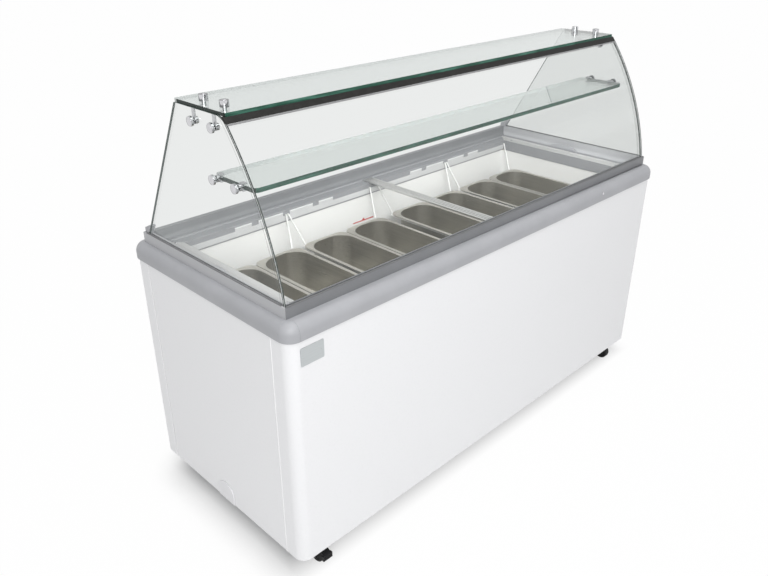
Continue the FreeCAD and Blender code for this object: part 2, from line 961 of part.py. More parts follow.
node(end_glass("left_glass", -1), "end_glass_left")
node(end_glass("right_glass", 1), "end_glass_right")

front_high = strip_low - glass_fit
front_outline = [
    (arc_depth(front_outer, glass_low), glass_low),
    (arc_depth(front_inner, glass_low), glass_low, front_inner, -1),
    (arc_depth(front_inner, front_high), front_high),
    (arc_depth(front_outer, front_high), front_high, front_outer, 1),
]
node(prism("curved_glass", "x", front_outline, -glass_x, glass_x), "front_glass")

# The black strip carries on the curved glass's line up to the top glass.
strip_back = root(front_outer * front_outer - (strip_low - arc_z) * (strip_low - arc_z))
strip_slope = (strip_low - arc_z) / strip_back
strip_run = cell("strip_height") * strip_slope
strip_rear = arc_depth(front_inner, strip_low)
strip_outline = [
    (head_y, strip_low),
    (strip_rear, strip_low),
    (strip_rear + strip_run, top_low),
    (head_y + strip_run, top_low),
]
node(prism("black_strip", "x", strip_outline, -glass_x, glass_x), "joint_strip")

top_x = glass_x - cell("top_inset")
top_half = cell("top_depth") / 2
top_middle = top_front_y + top_half
bolt_x = glass_x - glass_wall - cell("joint_reach")
top_plate = prism(
    "top_plate",
    "z",
    soft_rectangle(top_x, top_half, cell("top_corner"), top_middle),
    top_low,
    canopy_top,
)
top_holes = []
for side in (-1, 1):
    for y in joint_y:
        top_hole = rod(
            f"top_hole_{len(top_holes)}",
            "z",
            bolt_hole,
            cell("top_wall") * 3,
            side * bolt_x,
            y,
            top_low - cell("top_wall"),
        )
        top_holes.append(top_hole)
node(cut("top_sheet", top_plate, top_holes), "top_glass")

shelf_x = glass_x - glass_wall - cell("shelf_gap")
shelf_half = cell("shelf_depth") / 2
shelf_middle = shelf_front_y + shelf_half
shelf_low = shelf_level - cell("shelf_wall") / 2
node(
    prism(
        "shelf_plate",
        "z",
        soft_rectangle(shelf_x, shelf_half, cell("shelf_corner"), shelf_middle),
        shelf_low,
        shelf_low + cell("shelf_wall"),
    ),
    "shelf_glass",
)

gasket_z = (lip_top, lip_top + cell("gasket_height"))
gasket_near = cell("glass_setback") - glass_fit - cell("gasket_width")
gasket_far = gasket_near + cell("gasket_width")
gasket_stop = lip_y - lip_wall
front_gasket = block(
    "front_gasket",
    (gasket_far - lip_x, lip_x - gasket_far),
    (gasket_near - lip_y, gasket_far - lip_y),
    gasket_z,
)
end_gaskets = [
    block("left_gasket", (gasket_near - lip_x, gasket_far - lip_x), (-gasket_stop, gasket_stop), gasket_z),
    block("right_gasket", (lip_x - gasket_far, lip_x - gasket_near), (-gasket_stop, gasket_stop), gasket_z),
]
node(bundle("gasket_set", [front_gasket] + end_gaskets), "glass_gaskets")

# Chrome fittings

disc_radius = cell("disc_radius")
disc_wall = cell("disc_wall")
cap_radius = cell("cap_radius")
bolt_span = (glass_x - glass_wall - OVERRUN, glass_x + OVERRUN)


def along_x(name, side, radius, near, far, y, z):
    """A cylinder between two distances from the middle, on one end of the cabinet."""
    start = near if side > 0 else -far
    return rod(name, "x", radius, far - near, start, y, z)


def top_connector(name, side, y):
    """A right-angle bracket: disc, bolt and nut on the end glass, foot, stud and cap on the top glass."""
    inner = glass_x - glass_wall
    bracket_wall = cell("bracket_wall")
    half_width = cell("bracket_width") / 2
    leg_back = inner - bracket_wall
    foot_end = bolt_x - half_width
    foot_low = top_low - bracket_wall
    leg_x = (leg_back, inner) if side > 0 else (-inner, -leg_back)
    foot_x = (foot_end, inner) if side > 0 else (-inner, -foot_end)
    width = (y - half_width, y + half_width)
    nut_end = leg_back - cell("nut_wall")
    stud_length = bracket_wall + cell("top_wall") + OVERRUN
    return joined(
        name,
        [
            along_x(name + "_disc", side, disc_radius, glass_x, glass_x + disc_wall, y, joint_level),
            along_x(name + "_bolt", side, bolt_radius, *bolt_span, y, joint_level),
            along_x(name + "_nut", side, cell("joint_radius"), nut_end, inner, y, joint_level),
            block(name + "_leg", leg_x, width, (joint_level, top_low)),
            block(name + "_foot", foot_x, width, (foot_low, top_low)),
            rod(name + "_stud", "z", bolt_radius, stud_length, side * bolt_x, y, foot_low),
            rod(name + "_cap", "z", cap_radius, cell("cap_height"), side * bolt_x, y, canopy_top),
        ],
    )


connectors = []
for side, word in ((-1, "left"), (1, "right")):
    for y, seat in zip(joint_y, ("front", "rear")):
        connectors.append(top_connector(f"connector_{word}_{seat}", side, y))
node(bundle("connector_set", connectors), "top_connectors")


def shelf_clamp(name, side, y):
    """A clamp through the end glass whose jaw grips the shelf's edge."""
    inner = glass_x - glass_wall
    jaw_back = shelf_x + cell("jaw_bite") / 2
    jaw_tip = shelf_x - cell("jaw_bite")
    half_jaw = cell("jaw_width") / 2
    half_slot = cell("shelf_wall") / 2 + cell("jaw_fit")
    jaw_x = (jaw_tip, jaw_back) if side > 0 else (-jaw_back, -jaw_tip)
    slot_end = shelf_x + cell("jaw_fit")
    slot_x = (jaw_tip - OVERRUN, slot_end) if side > 0 else (-slot_end, OVERRUN - jaw_tip)
    half_height = cell("jaw_height") / 2
    jaw = block(
        name + "_jaw",
        jaw_x,
        (y - half_jaw, y + half_jaw),
        (shelf_level - half_height, shelf_level + half_height),
    )
    slot = block(
        name + "_slot",
        slot_x,
        (y - half_jaw - OVERRUN, y + half_jaw + OVERRUN),
        (shelf_level - half_slot, shelf_level + half_slot),
    )
    return joined(
        name,
        [
            cut(name + "_grip", jaw, [slot]),
            along_x(name + "_disc", side, disc_radius, glass_x, glass_x + disc_wall, y, shelf_level),
            along_x(name + "_bolt", side, bolt_radius, *bolt_span, y, shelf_level),
            along_x(name + "_neck", side, cell("joint_radius"), jaw_back - OVERRUN, inner, y, shelf_level),
        ],
    )


clamps = []
for side, word in ((-1, "left"), (1, "right")):
    for y, seat in zip(clamp_y, ("front", "rear")):
        clamps.append(shelf_clamp(f"clamp_{word}_{seat}", side, y))
node(bundle("clamp_set", clamps), "shelf_clamps")

# Retainers at mid-depth and blocks at the rear of the end glass

retainer_half = cell("retainer_length") / 2
retainer_rise = cell("retainer_rise")
retainer_radius = (retainer_half * retainer_half + retainer_rise * retainer_rise) / (retainer_rise * 2)
retainer_face = lip_x - lip_run
retainer_outline = [
    (-retainer_half, ledge_top),
    (retainer_half, ledge_top, retainer_radius, 1),
]
block_rear = lip_y - cell("block_inset")
block_high = lip_top + cell("block_height")
edge_slope = (rear_foot - rear_head) / (top_low - glass_low)


def rear_edge(level):
    """Where the sloping rear edge of the end glass stands at one level."""
    return rear_foot - (level - glass_low) * edge_slope


block_gap = cell("block_gap")
block_outline = [
    (rear_edge(lip_top) + block_gap, lip_top),
    (block_rear, lip_top),
    (block_rear, lip_top + cell("block_height") / 2),
    (rear_edge(block_high) + cell("block_width") / 2, block_high),
    (rear_edge(block_high) + block_gap, block_high),
]
retainers = []
for side, word in ((-1, "left"), (1, "right")):
    near = retainer_face - cell("retainer_wall")
    lens_x = (near, retainer_face) if side > 0 else (-retainer_face, -near)
    block_in = glass_x - cell("block_width")
    block_x = (block_in, glass_x) if side > 0 else (-glass_x, -block_in)
    retainers.append(prism(f"retainer_{word}", "x", retainer_outline, *lens_x))
    retainers.append(prism(f"rear_block_{word}", "x", block_outline, *block_x))
node(bundle("retainer_set", retainers), "glass_retainers")

# Tabbed strips, middle bar and wire frames in the well

strip_wall = cell("tab_strip_wall")
strip_base = body_top + cell("tab_strip_low")
strip_top = strip_base + cell("tab_strip_height")
strip_x = ledge_x - cell("strip_end_gap")
tab_places = [
    (hanger_x - cell("narrow_tab_offset"), cell("narrow_tab")),
    (hanger_x - cell("wide_tab_offset"), cell("wide_tab")),
    (hanger_x + cell("wide_tab_offset"), cell("wide_tab")),
    (hanger_x + cell("narrow_tab_offset"), cell("narrow_tab")),
]
tab_strips = []
for side, word in ((-1, "front"), (1, "rear")):
    strip_y = (ledge_y - strip_wall, ledge_y) if side > 0 else (-ledge_y, strip_wall - ledge_y)
    pieces = [block(f"strip_{word}", (-strip_x, strip_x), strip_y, (strip_base, strip_top))]
    for half in (-1, 1):
        for index, (middle, width) in enumerate(tab_places):
            tab_z = (strip_base, strip_top + cell("tab_height"))
            tab_x = (half * middle - width / 2, half * middle + width / 2)
            pieces.append(block(f"tab_{word}_{half + 1}_{index}", tab_x, strip_y, tab_z))
    tab_strips.append(joined(f"tab_strip_{word}", pieces))
node(bundle("tab_strip_set", tab_strips), "hanger_strips")

bar_half = cell("bar_width") / 2
bar_y = step_y - cell("bar_end_gap")
bar_top = ledge_low + cell("bar_wall")
bar_block = block("bar_block", (-bar_half, bar_half), (-bar_y, bar_y), (ledge_low, bar_top))
bar_grooves = []
for index in (-1, 0, 1):
    middle = index * cell("bar_width") / 4
    groove_x = (middle - cell("bar_groove") / 2, middle + cell("bar_groove") / 2)
    groove_z = (bar_top - cell("bar_groove_depth"), bar_top + cell("bar_groove_depth"))
    groove_y = (-bar_y - OVERRUN, bar_y + OVERRUN)
    bar_grooves.append(block(f"bar_groove_{index + 1}", groove_x, groove_y, groove_z))
node(cut("bar", bar_block, bar_grooves), "centre_bar")

pair_reach = pair_width / 2 + cell("pan_hanger_gap") / 2
pair_x = [hanger_x - pair_reach, hanger_x + pair_reach]
pair_middles = [-pair_x[1], -pair_x[0], pair_x[0], pair_x[1]]


def wire(start, end, radius):
    """A straight piece of wire with round ends."""
    first = FreeCAD.Vector(*start)
    run = FreeCAD.Vector(*end) - first
    bar = Part.makeCylinder(radius, run.Length, first, run)
    return bar.fuse([Part.makeSphere(radius, first), Part.makeSphere(radius, FreeCAD.Vector(*end))])


def pan_frame_shape():
    """A wire ring under the rims of two pans, hung from the tabbed strips by legs outside the rims."""
    radius, seat, margin, inset = number("wire_radius", "wire_seat", "frame_margin", "leg_inset")
    level = pan_rim_level.number - number("pan_turn_down") - radius - seat
    across = pair_width.number / 2 - margin
    along = number("pan_length") / 2 - margin
    outside = number("pan_length") / 2 + radius + seat
    hook_x = pair_reach.number - number("hook_spacing") / 2
    hook_y = ledge_y.number - strip_wall.number - radius - seat
    hook_z = strip_top.number + radius + seat
    ring = [(-across, -along), (across, -along), (across, along), (-across, along)]
    wires = []
    for start, end in zip(ring, ring[1:] + ring[:1]):
        wires.append(wire((*start, level), (*end, level), radius))
    for side in (-1, 1):
        for end in (-1, 1):
            root_of_leg = (side * (across - inset), end * along, level)
            foot = (side * (across - inset), end * outside, level)
            head = (side * hook_x, end * hook_y, hook_z)
            tip = (side * hook_x, end * (ledge_y.number - radius - seat), hook_z)
            wires.append(wire(root_of_leg, foot, radius))
            wires.append(wire(foot, head, radius))
            wires.append(wire(head, tip, radius))
    return wires[0].fuse(wires[1:])


frame_shape = pan_frame_shape()
frames = []
for index, middle in enumerate(pair_middles, start=1):
    frame = solid(f"pan_frame_{index}", frame_shape)
    bind(frame, "Placement.Base.x", middle)
    frames.append(frame)
node(bundle("pan_frame_set", frames), "pan_frames")


def soft_wire(half_x, half_y, radius, level):
    """A rounded rectangle at one level, as a closed wire."""
    corners_of = [(1, -1), (1, 1), (-1, 1), (-1, -1)]
    edges = []
    points = []
    for x_side, y_side in corners_of:
        middle = FreeCAD.Vector(x_side * (half_x - radius), y_side * (half_y - radius), level)
        along_depth = middle + FreeCAD.Vector(0, y_side * radius, 0)
        along_width = middle + FreeCAD.Vector(x_side * radius, 0, 0)
        diagonal = middle + FreeCAD.Vector(x_side, y_side, 0) * (radius / math.sqrt(2))
        if x_side * y_side < 0:
            points.append((along_depth, diagonal, along_width))
        else:
            points.append((along_width, diagonal, along_depth))
    for index, (first, middle, last) in enumerate(points):
        edges.append(Part.Arc(first, middle, last).toShape())
        edges.append(Part.LineSegment(last, points[(index + 1) % len(points)][0]).toShape())
    return Part.Wire(edges)


def pan_body(shrink, top, bottom):
    """A tapered tub with a rounded bottom edge; shrink takes its walls in by one thickness."""
    rim, corner, taper, rounding = number("pan_rim", "pan_corner", "pan_taper", "pan_bottom_round")
    half_x = number("pan_width") / 2 - rim - shrink
    half_y = number("pan_length") / 2 - rim - shrink
    depth = number("pan_depth")
    steps = 4
    profile = [(0.0, top)]
    for index in range(steps + 1):
        angle = math.pi / 2 * index / steps
        profile.append((rounding * (1 - math.cos(angle)), bottom + rounding * (1 - math.sin(angle))))
    sections = []
    for inset, level in profile:
        lean = taper * (top - level) / depth
        draw_in = lean + inset
        sections.append(
            soft_wire(half_x - draw_in, half_y - draw_in, max(corner - draw_in, rounding), level)
        )
    return Part.makeLoft(sections, True, True)


def pan_shape():
    """A pressed pan: tapered tub, wide rim and a short turned-down edge."""
    wall, corner, depth, turn_down = number("pan_wall", "pan_rim_corner", "pan_depth", "pan_turn_down")
    half_x = number("pan_width") / 2
    half_y = number("pan_length") / 2
    outside = pan_body(0.0, 0.0, -depth)
    brim = Part.Face(soft_wire(half_x, half_y, corner, 0.0)).extrude(FreeCAD.Vector(0, 0, -wall))
    skirt = Part.Face(soft_wire(half_x, half_y, corner, 0.0)).extrude(FreeCAD.Vector(0, 0, -turn_down))
    hollow = Part.Face(soft_wire(half_x - wall, half_y - wall, corner - wall, 0.0))
    skirt = skirt.cut(hollow.extrude(FreeCAD.Vector(0, 0, -turn_down)))
    inside = pan_body(wall, wall, wall - depth)
    return outside.fuse([brim, skirt]).cut(inside)


pressed_pan = pan_shape()
pan_middles = []
for middle in pair_middles:
    pan_middles += [middle - pan_pitch / 2, middle + pan_pitch / 2]
for index, middle in enumerate(pan_middles, start=1):
    pan = solid(f"gelato_pan_{index}", pressed_pan)
    place(pan, middle, 0, pan_rim_level)
    node(pan, f"pan_{index}")

# Cooling machinery on the floor pan

compressor_x = half_length - cell("compressor_inset")
compressor_y = -cell("compressor_y")
compressor_radius = cell("compressor_radius")
compressor_low = floor_top + cell("compressor_foot")
compressor_high = compressor_low + cell("compressor_height")
crown_round = compressor_radius / 2
pot_section = [
    (0, compressor_low),
    (compressor_radius, compressor_low),
    (compressor_radius, compressor_high - crown_round, crown_round, 1),
    (compressor_radius - crown_round, compressor_high),
    (0, compressor_high),
]
pot = turned("compressor_pot", "XZ_Plane", pot_section, "V_Axis")
place(pot, compressor_x, compressor_y)
foot_x = (compressor_x - cell("foot_half_length"), compressor_x + cell("foot_half_length"))
foot_y = (compressor_y - cell("foot_half_width"), compressor_y + cell("foot_half_width"))
foot_plate = block("foot_plate", foot_x, foot_y, (compressor_low, compressor_low + panel_wall * 2))
compressor_parts = [pot, foot_plate]
for x_index, x in enumerate(foot_x):
    for y_index, y in enumerate(foot_y):
        inset = cell("compressor_foot")
        grommet = rod(
            f"grommet_{x_index}{y_index}",
            "z",
            inset,
            cell("compressor_foot") + panel_wall,
            x + inset * (1 - 2 * x_index),
            y + inset * (1 - 2 * y_index),
            floor_top,
        )
        compressor_parts.append(grommet)
relay_box = block(
    "relay_box",
    (compressor_x - crown_round, compressor_x + crown_round),
    (compressor_y - cell("relay_reach"), compressor_y - compressor_radius / 2),
    (compressor_low + crown_round, compressor_low + crown_round + cell("relay_height")),
)
node(joined("compressor_unit", compressor_parts + [relay_box]), "compressor")

condenser_half = cell("condenser_width") / 2
condenser_rear = half_depth - panel_wall - cell("condenser_gap")
condenser_y = (condenser_rear - cell("condenser_wall"), condenser_rear)
condenser_z = (floor_top, floor_top + cell("condenser_height"))
fin_count = int((condenser_half * 2).number / number("fin_pitch"))
condenser_parts = []
for index in range(fin_count + 1):
    x = grille_x - condenser_half + index * cell("fin_pitch")
    condenser_parts.append(block(f"fin_{index}", (x, x + cell("fin_wall")), condenser_y, condenser_z))
coil_length = fin_count * cell("fin_pitch") + cell("fin_wall")
for index in range(1, COIL_ROWS + 1):
    level = floor_top + cell("condenser_height") * index / (COIL_ROWS + 1)
    middle = condenser_rear - cell("condenser_wall") / 2
    start = grille_x - condenser_half
    coil = rod(f"coil_{index}", "x", cell("coil_radius"), coil_length, start, middle, level)
    condenser_parts.append(coil)
node(joined("condenser_stack", condenser_parts), "condenser")

fan_x = grille_x
fan_level = floor_top + cell("condenser_height") / 2
fan_radius = cell("fan_radius")
plate_y = condenser_y[0] - cell("fan_gap")
fan_plate = block(
    "fan_plate",
    (fan_x - condenser_half, fan_x + condenser_half),
    (plate_y - cell("fan_plate"), plate_y),
    condenser_z,
)
fan_opening = rod(
    "fan_opening",
    "y",
    fan_radius + cell("fan_tip_gap"),
    cell("fan_plate") * 3,
    fan_x,
    plate_y - cell("fan_plate") * 2,
    fan_level,
)
hub_length = cell("fan_hub_length")
motor_rear = plate_y - hub_length
motor_front = motor_rear - cell("motor_length")
motor = rod("motor_can", "y", cell("motor_radius"), cell("motor_length"), fan_x, motor_front, fan_level)
shaft = rod(
    "motor_shaft",
    "y",
    cell("shaft_radius"),
    cell("motor_length") + hub_length,
    fan_x,
    motor_front,
    fan_level,
)
arm_reach = fan_radius + cell("motor_arm_gap")
arm_half = cell("motor_arm_height") / 2
arm_z = (fan_level - arm_half, fan_level + arm_half)
arms = []
for side in (-1, 1):
    arm_x = fan_x + side * arm_reach
    arm_span = (arm_x - cell("fan_plate") * 2, arm_x + cell("fan_plate") * 2)
    arms.append(block(f"fan_post_{side + 1}", arm_span, (motor_front, plate_y), arm_z))
bridge = block(
    "fan_bridge",
    (fan_x - arm_reach, fan_x + arm_reach),
    (motor_front, motor_front + cell("fan_plate")),
    arm_z,
)
fan_frame = cut("fan_frame", fan_plate, [fan_opening])
node(joined("fan_carrier", [fan_frame, motor, shaft, bridge] + arms), "fan_motor")

blade_y = (motor_rear + cell("fan_hub_gap"), plate_y + cell("fan_gap") / 2)


def fan_blade_shape():
    """Pitched blades on a hub with a bore for the motor shaft, about the Y axis."""
    hub_radius, wall, pitch = number("fan_hub_radius", "fan_blade_wall", "fan_pitch_angle")
    fill = number("fan_blade_fill")
    low, high = blade_y[0].number, blade_y[1].number
    length = high - low
    tip = number("fan_radius")
    axis = FreeCAD.Vector(0, 1, 0)
    hub = Part.makeCylinder(hub_radius, length, FreeCAD.Vector(0, low, 0), axis)
    rim = Part.makeCylinder(tip, length, FreeCAD.Vector(0, low, 0), axis)
    span = length / math.cos(math.radians(pitch)) * fill
    blades = []
    for index in range(FAN_BLADES):
        blade = Part.makeBox(wall, span, tip, FreeCAD.Vector(-wall / 2, (low + high - span) / 2, 0))
        blade.rotate(FreeCAD.Vector(0, (low + high) / 2, 0), FreeCAD.Vector(0, 0, 1), pitch)
        blade.rotate(FreeCAD.Vector(), axis, 360 / FAN_BLADES * index)
        blades.append(blade.common(rim))
    bore_radius = number("shaft_radius") + running.number
    bore = Part.makeCylinder(bore_radius, length * 3, FreeCAD.Vector(0, low - length, 0), axis)
    return hub.fuse(blades).cut(bore)


blade_set = solid("fan_wheel", fan_blade_shape())
place(blade_set, fan_x, 0, fan_level)
node(blade_set, "fan_blade")

# Rear service face

grille_y = (half_depth, half_depth + cell("grille_wall"))
grille_x_span = (grille_x - cell("grille_width") / 2, grille_x + cell("grille_width") / 2)
grille_plate = block("grille_plate", grille_x_span, grille_y, (grille_low, grille_high))
slot_room = (cell("grille_height") - cell("slot_margin") * 2).number
slot_count = int((slot_room - number("slot_height")) / number("slot_pitch")) + 1
slots = []
for index in range(slot_count):
    low = grille_low + cell("slot_margin") + index * cell("slot_pitch")
    slot_x = (grille_x_span[0] + cell("slot_margin"), grille_x_span[1] - cell("slot_margin"))
    slot_y = (half_depth - cell("grille_wall"), half_depth + cell("grille_wall") * 2)
    slots.append(block(f"slot_{index}", slot_x, slot_y, (low, low + cell("slot_height"))))
node(cut("grille", grille_plate, slots), "rear_grille")

control_fit = cell("control_fit")
control_wall = cell("control_wall")
tray_x = (control_x[0] + control_fit, control_x[1] - control_fit)
tray_z = (control_z[0] + control_fit, control_z[1] - control_fit)
tray_floor = half_depth - cell("control_recess")
tray = block("control_tray", tray_x, (tray_floor - control_wall, half_depth), tray_z)
tray_space = block(
    "control_space",
    (tray_x[0] + control_wall, tray_x[1] - control_wall),
    (tray_floor, half_depth + control_wall),
    (tray_z[0] + control_wall, tray_z[1] - control_wall),
)
control_middle = (control_z[0] + control_z[1]) / 2
knob_x = control_across - cell("knob_offset")
knob_shaft = cell("knob_shaft_radius")
knob_bore = rod(
    "knob_bore",
    "y",
    knob_shaft + running,
    control_wall * 3,
    knob_x,
    tray_floor - control_wall * 2,
    control_middle,
)
switch_x = control_across + cell("switch_offset")
switch_half_x = cell("switch_width") / 2
switch_half_z = cell("switch_height") / 2
switch_gap = cell("switch_gap")
switch_window = block(
    "switch_window",
    (switch_x - switch_half_x - switch_gap, switch_x + switch_half_x + switch_gap),
    (tray_floor - control_wall * 2, tray_floor + control_wall),
    (control_middle - switch_half_z - switch_gap, control_middle + switch_half_z + switch_gap),
)
# Ears behind the plate carry the rocker's pin.
pin_radius = cell("switch_pin_radius")
pin_y = tray_floor - control_wall - pin_radius * 2
ears = []
for side in (-1, 1):
    near = switch_x + side * (switch_half_x + switch_gap)
    far = near + side * control_wall
    ear_x = (near, far) if side > 0 else (far, near)
    ear_z = (control_middle - pin_radius * 3, control_middle + pin_radius * 3)
    ears.append(block(f"switch_ear_{side + 1}", ear_x, (pin_y - pin_radius * 3, tray_floor), ear_z))
pin_bore = rod(
    "pin_bore",
    "x",
    pin_radius + running,
    cell("switch_width") * 2,
    switch_x - cell("switch_width"),
    pin_y,
    control_middle,
)
dish = cut("control_dish", tray, [tray_space, knob_bore, switch_window])
node(cut("control_body", joined("control_with_ears", [dish] + ears), [pin_bore]), "control_plate")

knob_low = tray_floor + cell("knob_gap")
knob_disc = rod(
    "knob_disc", "y", cell("knob_radius"), cell("knob_height"), knob_x, knob_low, control_middle
)
knob_stem = rod(
    "knob_stem",
    "y",
    knob_shaft,
    control_wall * 4 + cell("knob_height") / 2,
    knob_x,
    tray_floor - control_wall * 4,
    control_middle,
)
grip_half = cell("grip_width") / 2
grip_reach = cell("grip_length") / 2
knob_grip = block(
    "knob_grip",
    (knob_x - grip_half, knob_x + grip_half),
    (knob_low, knob_low + cell("grip_height")),
    (control_middle - grip_reach, control_middle + grip_reach),
)
node(joined("knob", [knob_disc, knob_stem, knob_grip]), "thermostat_knob")

rocker_outline = [
    (pin_y - pin_radius * 2, control_middle - switch_half_z / 2),
    (tray_floor + cell("switch_tip"), control_middle - switch_half_z),
    (tray_floor + cell("switch_dip"), control_middle),
    (tray_floor + cell("switch_tip"), control_middle + switch_half_z),
    (pin_y - pin_radius * 2, control_middle + switch_half_z / 2),
]
rocker_body = prism(
    "rocker_body", "x", rocker_outline, switch_x - switch_half_x, switch_x + switch_half_x
)
rocker_pin = rod(
    "rocker_pin",
    "x",
    pin_radius,
    (switch_half_x + switch_gap + control_wall) * 2,
    switch_x - switch_half_x - switch_gap - control_wall,
    pin_y,
    control_middle,
)
node(joined("rocker", [rocker_body, rocker_pin]), "power_switch")

inlet_radius = cell("inlet_radius")
inlet_proud = cell("inlet_proud")
inlet_nut = rod(
    "inlet_nut", "y", cell("inlet_nut_radius"), inlet_proud, inlet_x, half_depth, inlet_level
)
inlet_neck = rod(
    "inlet_neck",
    "y",
    inlet_radius,
    inlet_proud + panel_wall * 2,
    inlet_x,
    half_depth - panel_wall * 2,
    inlet_level,
)
inlet_bore = rod(
    "inlet_bore",
    "y",
    cell("inlet_bore"),
    inlet_proud * 4,
    inlet_x,
    half_depth - inlet_proud * 2,
    inlet_level,
)
node(cut("inlet_gland", joined("inlet_body", [inlet_nut, inlet_neck]), [inlet_bore]), "power_inlet")

# Defrost drain from the tub's floor to the left end

side_face = half_length - cell("side_inset")


def drain_route(overrun):
    """Down from the tub's floor, then out to the left; overrun lengthens both ends."""
    top = liner_floor.number - liner_wall.number + overrun
    mouth = -side_face.number + number("panel_wall") - overrun
    return [
        (-drain_x.number, 0, top),
        (-drain_x.number, 0, drain_level.number),
        (mouth, 0, drain_level.number),
    ]


drain_outside = bent_tube(drain_route(0.0), *number("drain_radius", "drain_bend"))
drain_inside = bent_tube(drain_route(OVERRUN), *number("drain_bore", "drain_bend"))
node(solid("drain", drain_outside.cut(drain_inside)), "drain_tube")

cover_radius = cell("drain_cover_radius")
cover_gap = cell("drain_cover_gap")
cover_foot = body_bottom + panel_wall
cover_outline = [
    (-cover_radius, cover_foot),
    (cover_radius, cover_foot),
    (cover_radius, drain_level, cover_radius, 1),
    (0, drain_level + cover_radius, cover_radius, 1),
    (-cover_radius, drain_level),
]
cover_x = -side_face - cover_gap
cover_plate = prism("cover_plate", "x", cover_outline, cover_x - cell("drain_cover_wall"), cover_x)
spigot = rod(
    "spigot", "x", spigot_radius, cell("spigot_length") + OVERRUN, cover_x - OVERRUN, 0, drain_level
)
node(joined("cover", [cover_plate, spigot]), "drain_cover")

# Casters

caster_x = half_length - cell("caster_inset_x")
caster_y = half_depth - cell("caster_inset_y")
plate_half = cell("caster_plate") / 2
plate_low = body_bottom - cell("caster_plate_wall")
crown_top = plate_low - cell("caster_gap")
crown_low = crown_top - cell("crown_height")
kingpin_radius = cell("kingpin_radius")
axle_radius = cell("axle_radius")
wheel_half = cell("wheel_width") / 2
cheek_in = wheel_half + cell("fork_gap")
cheek_out = cheek_in + cell("fork_wall")
trail = cell("axle_trail")
boss = cell("axle_boss")
pedal_pin_y = trail + cell("pedal_pin_reach")
pedal_pin_z = cell("pedal_pin_level")
pedal_pin_radius = cell("pedal_pin_radius")

# Side along X, side along Y and whether the caster has a brake
CASTERS = {
    "front_left": (-1, -1, True),
    "front_right": (1, -1, False),
    "rear_left": (-1, 1, False),
    "rear_right": (1, 1, True),
}

plates = []
for name, (x_side, y_side, braked) in CASTERS.items():
    x = x_side * caster_x
    y = y_side * caster_y
    plate = block(
        f"plate_{name}",
        (x - plate_half, x + plate_half),
        (y - plate_half, y + plate_half),
        (plate_low, body_bottom),
    )
    pin_length = plate_low - crown_low + cell("caster_plate_wall")
    kingpin = rod(f"kingpin_{name}", "z", kingpin_radius, pin_length, x, y, crown_low)
    plates.append(joined(f"caster_top_{name}", [plate, kingpin]))
node(bundle("caster_plate_set", plates), "caster_plates")


def fork(name, x_side, y_side, braked):
    """Crown and two cheeks; the cheeks trail behind the kingpin and carry the axle."""
    x = x_side * caster_x
    y = y_side * caster_y
    half_crown = cell("crown_length") / 2
    axle_y = y + y_side * trail
    crown_y = (y - half_crown, y + half_crown)
    crown = block(f"crown_{name}", (x - cheek_out, x + cheek_out), crown_y, (crown_low, crown_top))
    outline = [
        (y - y_side * half_crown, crown_top),
        (y - y_side * half_crown, crown_low),
        (axle_y - y_side * boss, wheel_radius - boss),
        (axle_y + y_side * boss, wheel_radius - boss),
        (axle_y + y_side * boss, wheel_radius + boss),
    ]
    pin_y_here = y + y_side * pedal_pin_y
    if braked:
        ear = pedal_pin_radius * 2
        outline += [
            (pin_y_here + y_side * ear, pedal_pin_z - ear),
            (pin_y_here + y_side * ear, pedal_pin_z + ear),
        ]
    outline.append((y + y_side * half_crown, crown_top))
    cheeks = []
    for side, word in ((-1, "in"), (1, "out")):
        near = x + side * cheek_in
        far = x + side * cheek_out
        span = (near, far) if side > 0 else (far, near)
        cheeks.append(prism(f"cheek_{word}_{name}", "x", outline, *span))
    length = (cheek_out + OVERRUN) * 2
    start = x - cheek_out - OVERRUN
    holes = [
        rod(f"pin_hole_{name}", "z", kingpin_radius + running, crown_top, x, y, crown_low - OVERRUN),
        rod(f"axle_hole_{name}", "x", axle_radius + running, length, start, axle_y, wheel_radius),
    ]
    if braked:
        hole = rod(
            f"pedal_hole_{name}", "x", pedal_pin_radius + running, length, start, pin_y_here, pedal_pin_z
        )
        holes.append(hole)
    return cut(f"fork_{name}", joined(f"fork_body_{name}", [crown] + cheeks), holes)


def axle(name, x_side, y_side):
    """A plain pin between the cheeks with a flat head outside each."""
    x = x_side * caster_x
    y = y_side * (caster_y + trail)
    head = cell("fork_wall")
    length = cheek_out * 2
    gap = cell("caster_gap")
    pin_start = x - cheek_out - gap
    pieces = [rod(f"axle_pin_{name}", "x", axle_radius, length + gap * 2, pin_start, y, wheel_radius)]
    for side in (-1, 1):
        start = x + cheek_out + gap if side > 0 else x - cheek_out - gap - head
        end = f"axle_head_{name}_{side + 1}"
        pieces.append(rod(end, "x", cell("axle_head_radius"), head, start, y, wheel_radius))
    return joined(f"axle_{name}", pieces)


def wheel(name, x_side, y_side):
    """A solid tyre with rounded shoulders and a shallow dish in each face."""
    rounding = cell("wheel_round")
    dish = cell("wheel_dish")
    bore = axle_radius + running
    hub = axle_radius * 2
    shoulder = wheel_radius - rounding
    edge = shoulder - cell("wheel_rim")
    outline = [
        (-wheel_half, bore),
        (wheel_half, bore),
        (wheel_half, hub),
        (wheel_half - dish, hub + dish),
        (wheel_half - dish, edge - dish),
        (wheel_half, edge),
        (wheel_half, shoulder, rounding, 1),
        (wheel_half - rounding, wheel_radius),
        (rounding - wheel_half, wheel_radius, rounding, 1),
        (-wheel_half, shoulder),
        (-wheel_half, edge),
        (dish - wheel_half, edge - dish),
        (dish - wheel_half, hub + dish),
        (-wheel_half, hub),
    ]
    tyre = turned(f"wheel_{name}", "XZ_Plane", outline, "H_Axis")
    return place(tyre, x_side * caster_x, y_side * (caster_y + trail), wheel_radius)


